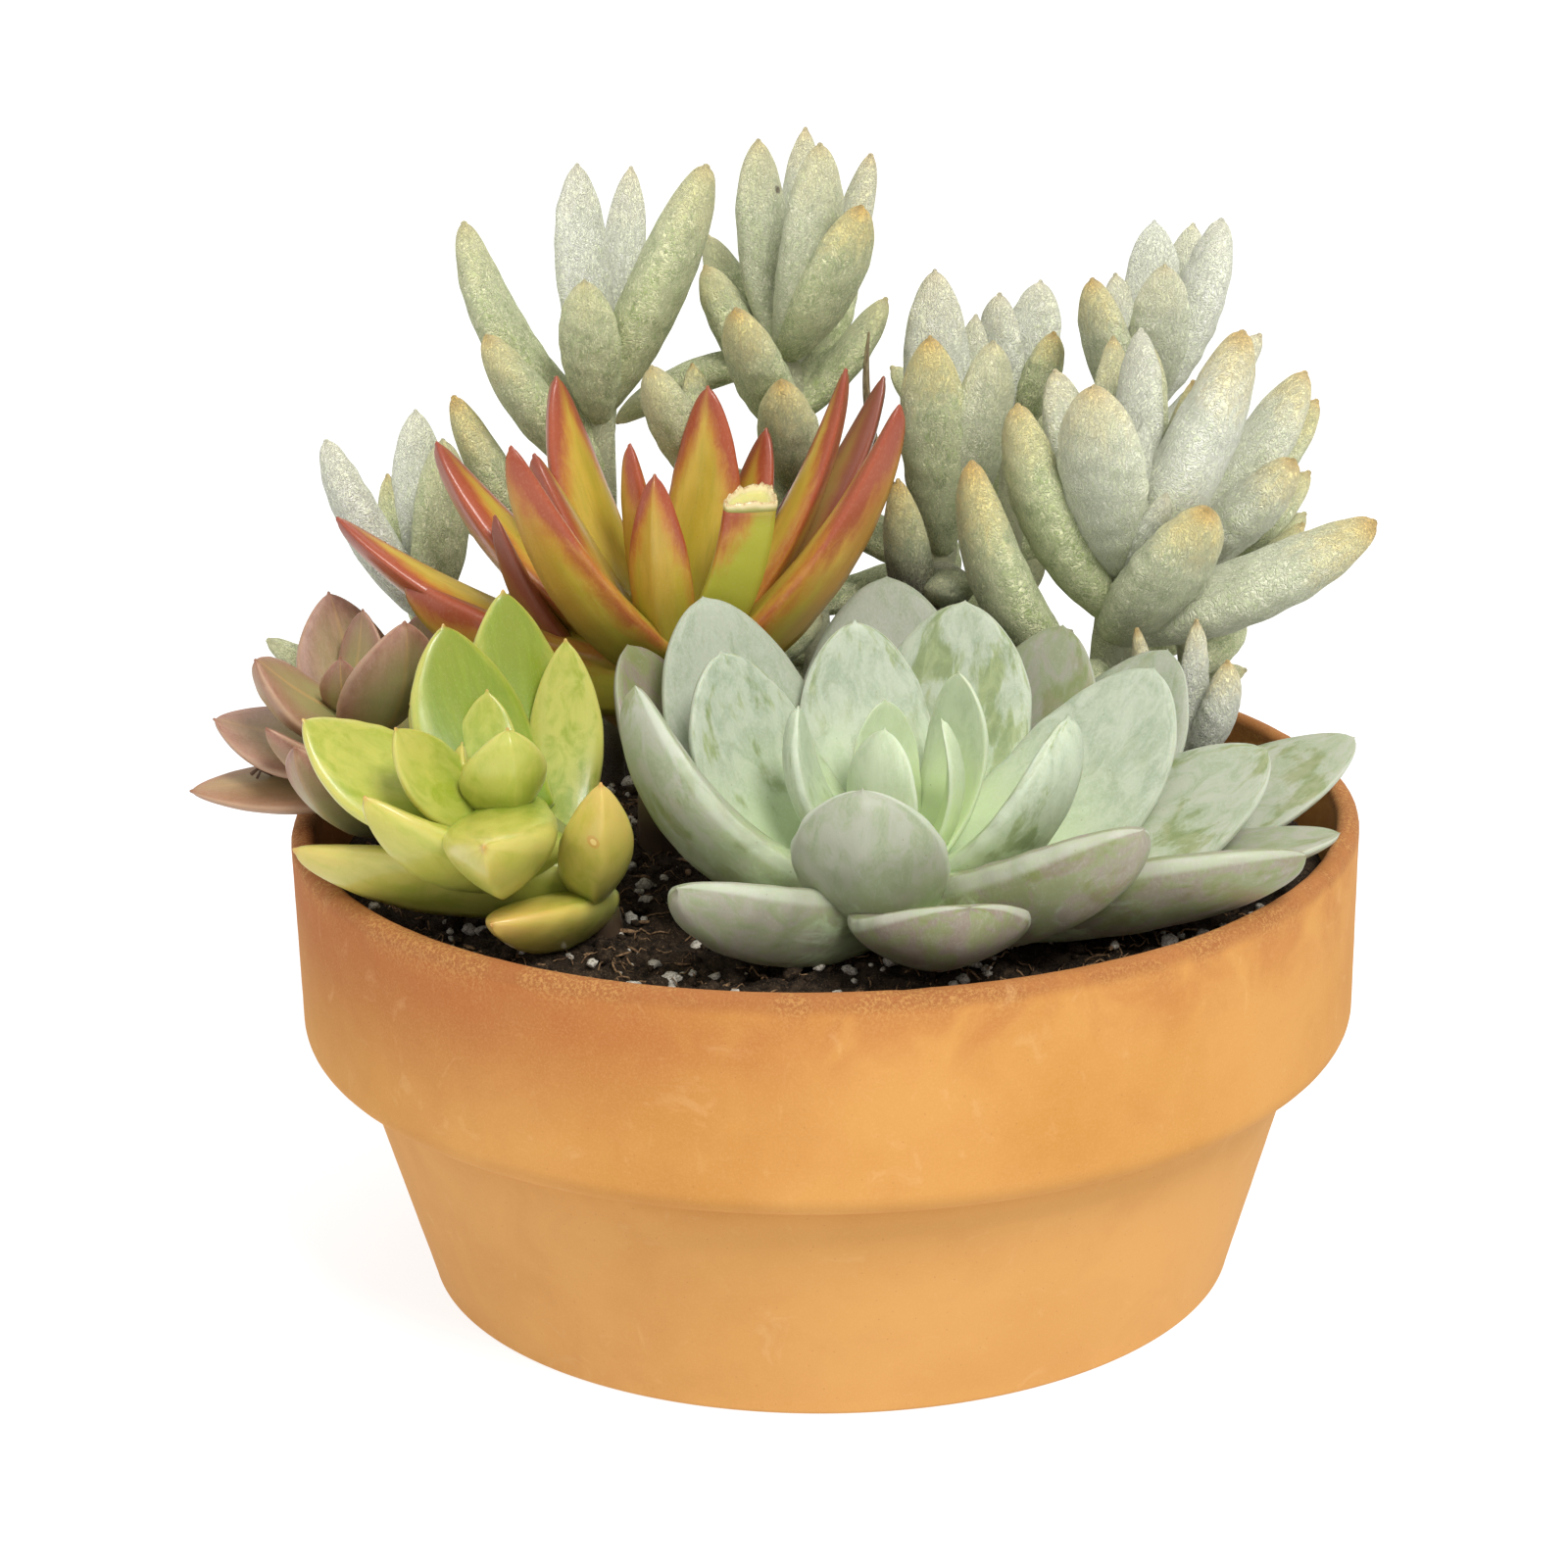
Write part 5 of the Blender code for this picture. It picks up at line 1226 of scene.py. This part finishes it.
def soil_height(x, y):
    """The soil's top: its slow rise and fall, and its lumps."""
    height = SOIL_TOP + SOIL_BUMP * math.sin(x / 11.0 + 0.6) * math.cos(y / 9.0) - 0.4
    place = Vector((x, y, 0.0))
    height += noise.fractal(place * 0.16, 0.8, 2.0, 3) * 1.5
    height += abs(noise.noise(place * 0.55)) * 1.9 - 0.7
    height += noise.noise(place * 1.3) * 0.75
    return height


def make_soil(material):
    """The potting soil, a closed solid with a lumpy top."""
    rings = int(SOIL_EDGE / SOIL_RING_STEP)
    top = [(SOIL_EDGE * (index / rings), SOIL_TOP) for index in range(rings + 1)]
    wall = list(reversed(inner_wall(SOIL_GAP)))
    wall[0] = (wall[0][0], SOIL_TOP - 6.0)
    low = between(wall[-1], (0.0, wall[-1][1]), 12)
    profile = top + wall + low + [(0.0, FLOOR_THICKNESS + SOIL_GAP)]
    soil = turned_piece("potting_soil", profile, SOIL_SPOKES, material)
    for vert in soil.data.vertices:
        if vert.co.z > (SOIL_TOP - SOIL_TOP_MARGIN) * MM:
            x, y = vert.co.x / MM, vert.co.y / MM
            rim = max(0.0, math.hypot(x, y) - SOIL_EDGE + 5.0) / 5.0
            vert.co.z = (soil_height(x, y) - 1.2 * rim * rim) * MM
    soil.data.flip_normals()
    return soil


def strewn(draw, reach):
    """A place on the soil, out to a part of its radius."""
    radius = SOIL_EDGE * reach * math.sqrt(draw.random())
    angle = draw.uniform(0.0, math.tau)
    return radius * math.cos(angle), radius * math.sin(angle)


def lump(draw, grit, size):
    """A rough lump of grit as points and faces."""
    shape = bmesh.new()
    bmesh.ops.create_icosphere(shape, subdivisions=grit.level, radius=1.0)
    seed = Vector([draw.uniform(-90, 90) for _ in range(3)])
    for vert in shape.verts:
        vert.co *= 1.0 + noise.noise(vert.co * 1.3 + seed) * 0.55 + noise.noise(vert.co * 3.0 + seed) * 0.2
    stretch = Matrix.Diagonal((size * grit.long, size, size * grit.flat)).to_4x4()
    turn = Matrix.Rotation(draw.uniform(0, math.tau), 4, "Z")
    tilt = Matrix.Rotation(draw.uniform(-0.6, 0.6), 4, "X")
    shape.transform(turn @ tilt @ stretch)
    points = np.array([vert.co[:] for vert in shape.verts])
    faces = [tuple(vert.index for vert in face.verts) for face in shape.faces]
    shape.free()
    return points, faces


def scatter(name, material, grit):
    """Lumps of one kind strewn over the soil."""
    draw = random.Random(grit.seed)
    surface = Surface()
    for _ in range(grit.count):
        x, y = strewn(draw, GRIT_REACH)
        size = draw.uniform(grit.low, grit.high) * draw.uniform(0.6, 1.0)
        points, faces = lump(draw, grit, size)
        points = points + np.array([x, y, soil_height(x, y) + size * grit.sink])
        surface.add(points, faces, chance=draw.random())
    return surface.piece(name, material)


def fibre_route(draw):
    """The points of a thin curled fibre that lies on the soil."""
    x, y = strewn(draw, FIBRE_REACH)
    heading = draw.uniform(0.0, math.tau)
    bend = draw.uniform(-0.5, 0.5)
    reach = draw.uniform(0.5, 1.3)
    arch = draw.uniform(0.2, 1.2)
    route = []
    for step in range(FIBRE_STEPS):
        lift = math.sin(math.pi * step / (FIBRE_STEPS - 1)) * arch
        route.append((x, y, soil_height(x, y) + FIBRE_LIFT + lift))
        heading += bend + draw.uniform(-0.3, 0.3)
        x += math.cos(heading) * reach
        y += math.sin(heading) * reach
        if math.hypot(x, y) > SOIL_EDGE:
            break
    return route


def strew_fibres(name, material):
    """Fibres of peat that lie on the soil."""
    draw = random.Random(FIBRE_SEED)
    surface = Surface()
    for _ in range(FIBRES):
        route = fibre_route(draw)
        if len(route) > 2:
            add_tube(surface, route, draw.uniform(0.08, 0.20), FIBRE_SIDES, 0.0, draw, bumps=0.2)
    return surface.piece(name, material)


# The light, the floor and the camera

def make_camera():
    """The photograph's own view of the garden."""
    right, up, back = view_axes()
    data = bpy.data.cameras.new("photograph_view")
    data.sensor_width = SENSOR_WIDTH
    data.lens = FOCAL_PIXELS * SENSOR_WIDTH / FRAME_SIZE
    data.clip_start = NEAR_CLIP
    camera = add_object("photograph_view", data)
    axes = Matrix((right, up, back)).transposed().to_4x4()
    camera.matrix_world = Matrix.Translation((VIEW_AIM + back * VIEW_DISTANCE) * MM) @ axes
    bpy.context.scene.camera = camera


def far_light(name, heading, lift, spread, strength, color):
    """A soft light from far away, by its heading from the front and its height in degrees."""
    data = bpy.data.lights.new(name, "SUN")
    data.energy = strength
    data.angle = math.radians(spread)
    data.color = color
    heading, lift = math.radians(heading), math.radians(lift)
    toward = Vector((math.sin(heading) * math.cos(lift), -math.cos(heading) * math.cos(lift),
                     math.sin(lift)))
    add_object(name, data).rotation_euler = toward.to_track_quat("Z", "Y").to_euler()


def make_floor():
    """The bright paper that the pan stands on."""
    mesh = bpy.data.meshes.new("studio_floor")
    half = FLOOR_HALF
    mesh.from_pydata([(-half, -half, 0.0), (half, -half, 0.0), (half, half, 0.0), (-half, half, 0.0)], [],
                     [(0, 1, 2, 3)])
    floor = add_object("studio_floor", mesh)
    paper = Skin("studio_paper")
    paper.color = FLOOR_COLOR
    mesh.materials.append(paper.finish(0.95, Specular_IOR_Level=0.0, Emission_Color=WHITE,
                                       Emission_Strength=FLOOR_GLOW))


def make_studio():
    """A bright floor in a bright room, with soft light from the front right and from behind."""
    make_floor()
    world = bpy.data.worlds.new("studio")
    world.use_nodes = True
    background = world.node_tree.nodes["Background"]
    background.inputs["Color"].default_value = WHITE
    background.inputs["Strength"].default_value = ROOM_LIGHT
    bpy.context.scene.world = world
    for name, light in LIGHTS.items():
        far_light(name, *light)
    bpy.context.scene.view_settings.view_transform = "Standard"


# The plants

def make_plant(name, plant, material):
    """A plant's fine surface: its stem and all its leaves."""
    draw = random.Random(name)
    surface = Surface()
    add_stem(surface, plant, draw)
    for leaf, tip in all_leaves(plant):
        add_leaf(surface, plant, leaf, tip, draw)
    if plant.kind is BRONZE:
        start = stem_point(plant, ROOTLET_START)
        for route in ROOTLETS:
            spots = [start] + [point_seen_at(pixel, depth) for pixel, depth in route]
            add_tube(surface, spots, ROOTLET_RADIUS, ROOTLET_SIDES, ROOTLET_PART, draw, bumps=0.3)
    return surface.piece(name + "_fine", material)


def main():
    """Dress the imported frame."""
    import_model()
    make_camera()
    make_studio()
    skins = {"blue_leaf": blue_skin(), "lime_leaf": lime_skin(), "bronze_leaf": bronze_skin(),
             "red_leaf": red_skin(), "woolly_leaf": woolly_skin()}
    for name, plant in PLANTS.items():
        piece = make_plant(name, plant, skins[plant.kind.slot])
        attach(piece, "root")
        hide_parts(name)
    pan = make_pan(pan_skin())
    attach(pan, "root")
    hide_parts("pot")
    soil = make_soil(soil_skin())
    crumbs = scatter("soil_crumbs", soil_skin(), CRUMBS)
    perlite = scatter("perlite", perlite_skin(), PERLITE)
    bark = scatter("bark_chips", bark_skin(), BARK)
    fibres = strew_fibres("peat_fibres", bark_skin())
    for piece in (soil, crumbs, perlite, bark, fibres):
        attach(piece, "root")
    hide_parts("soil")


main()
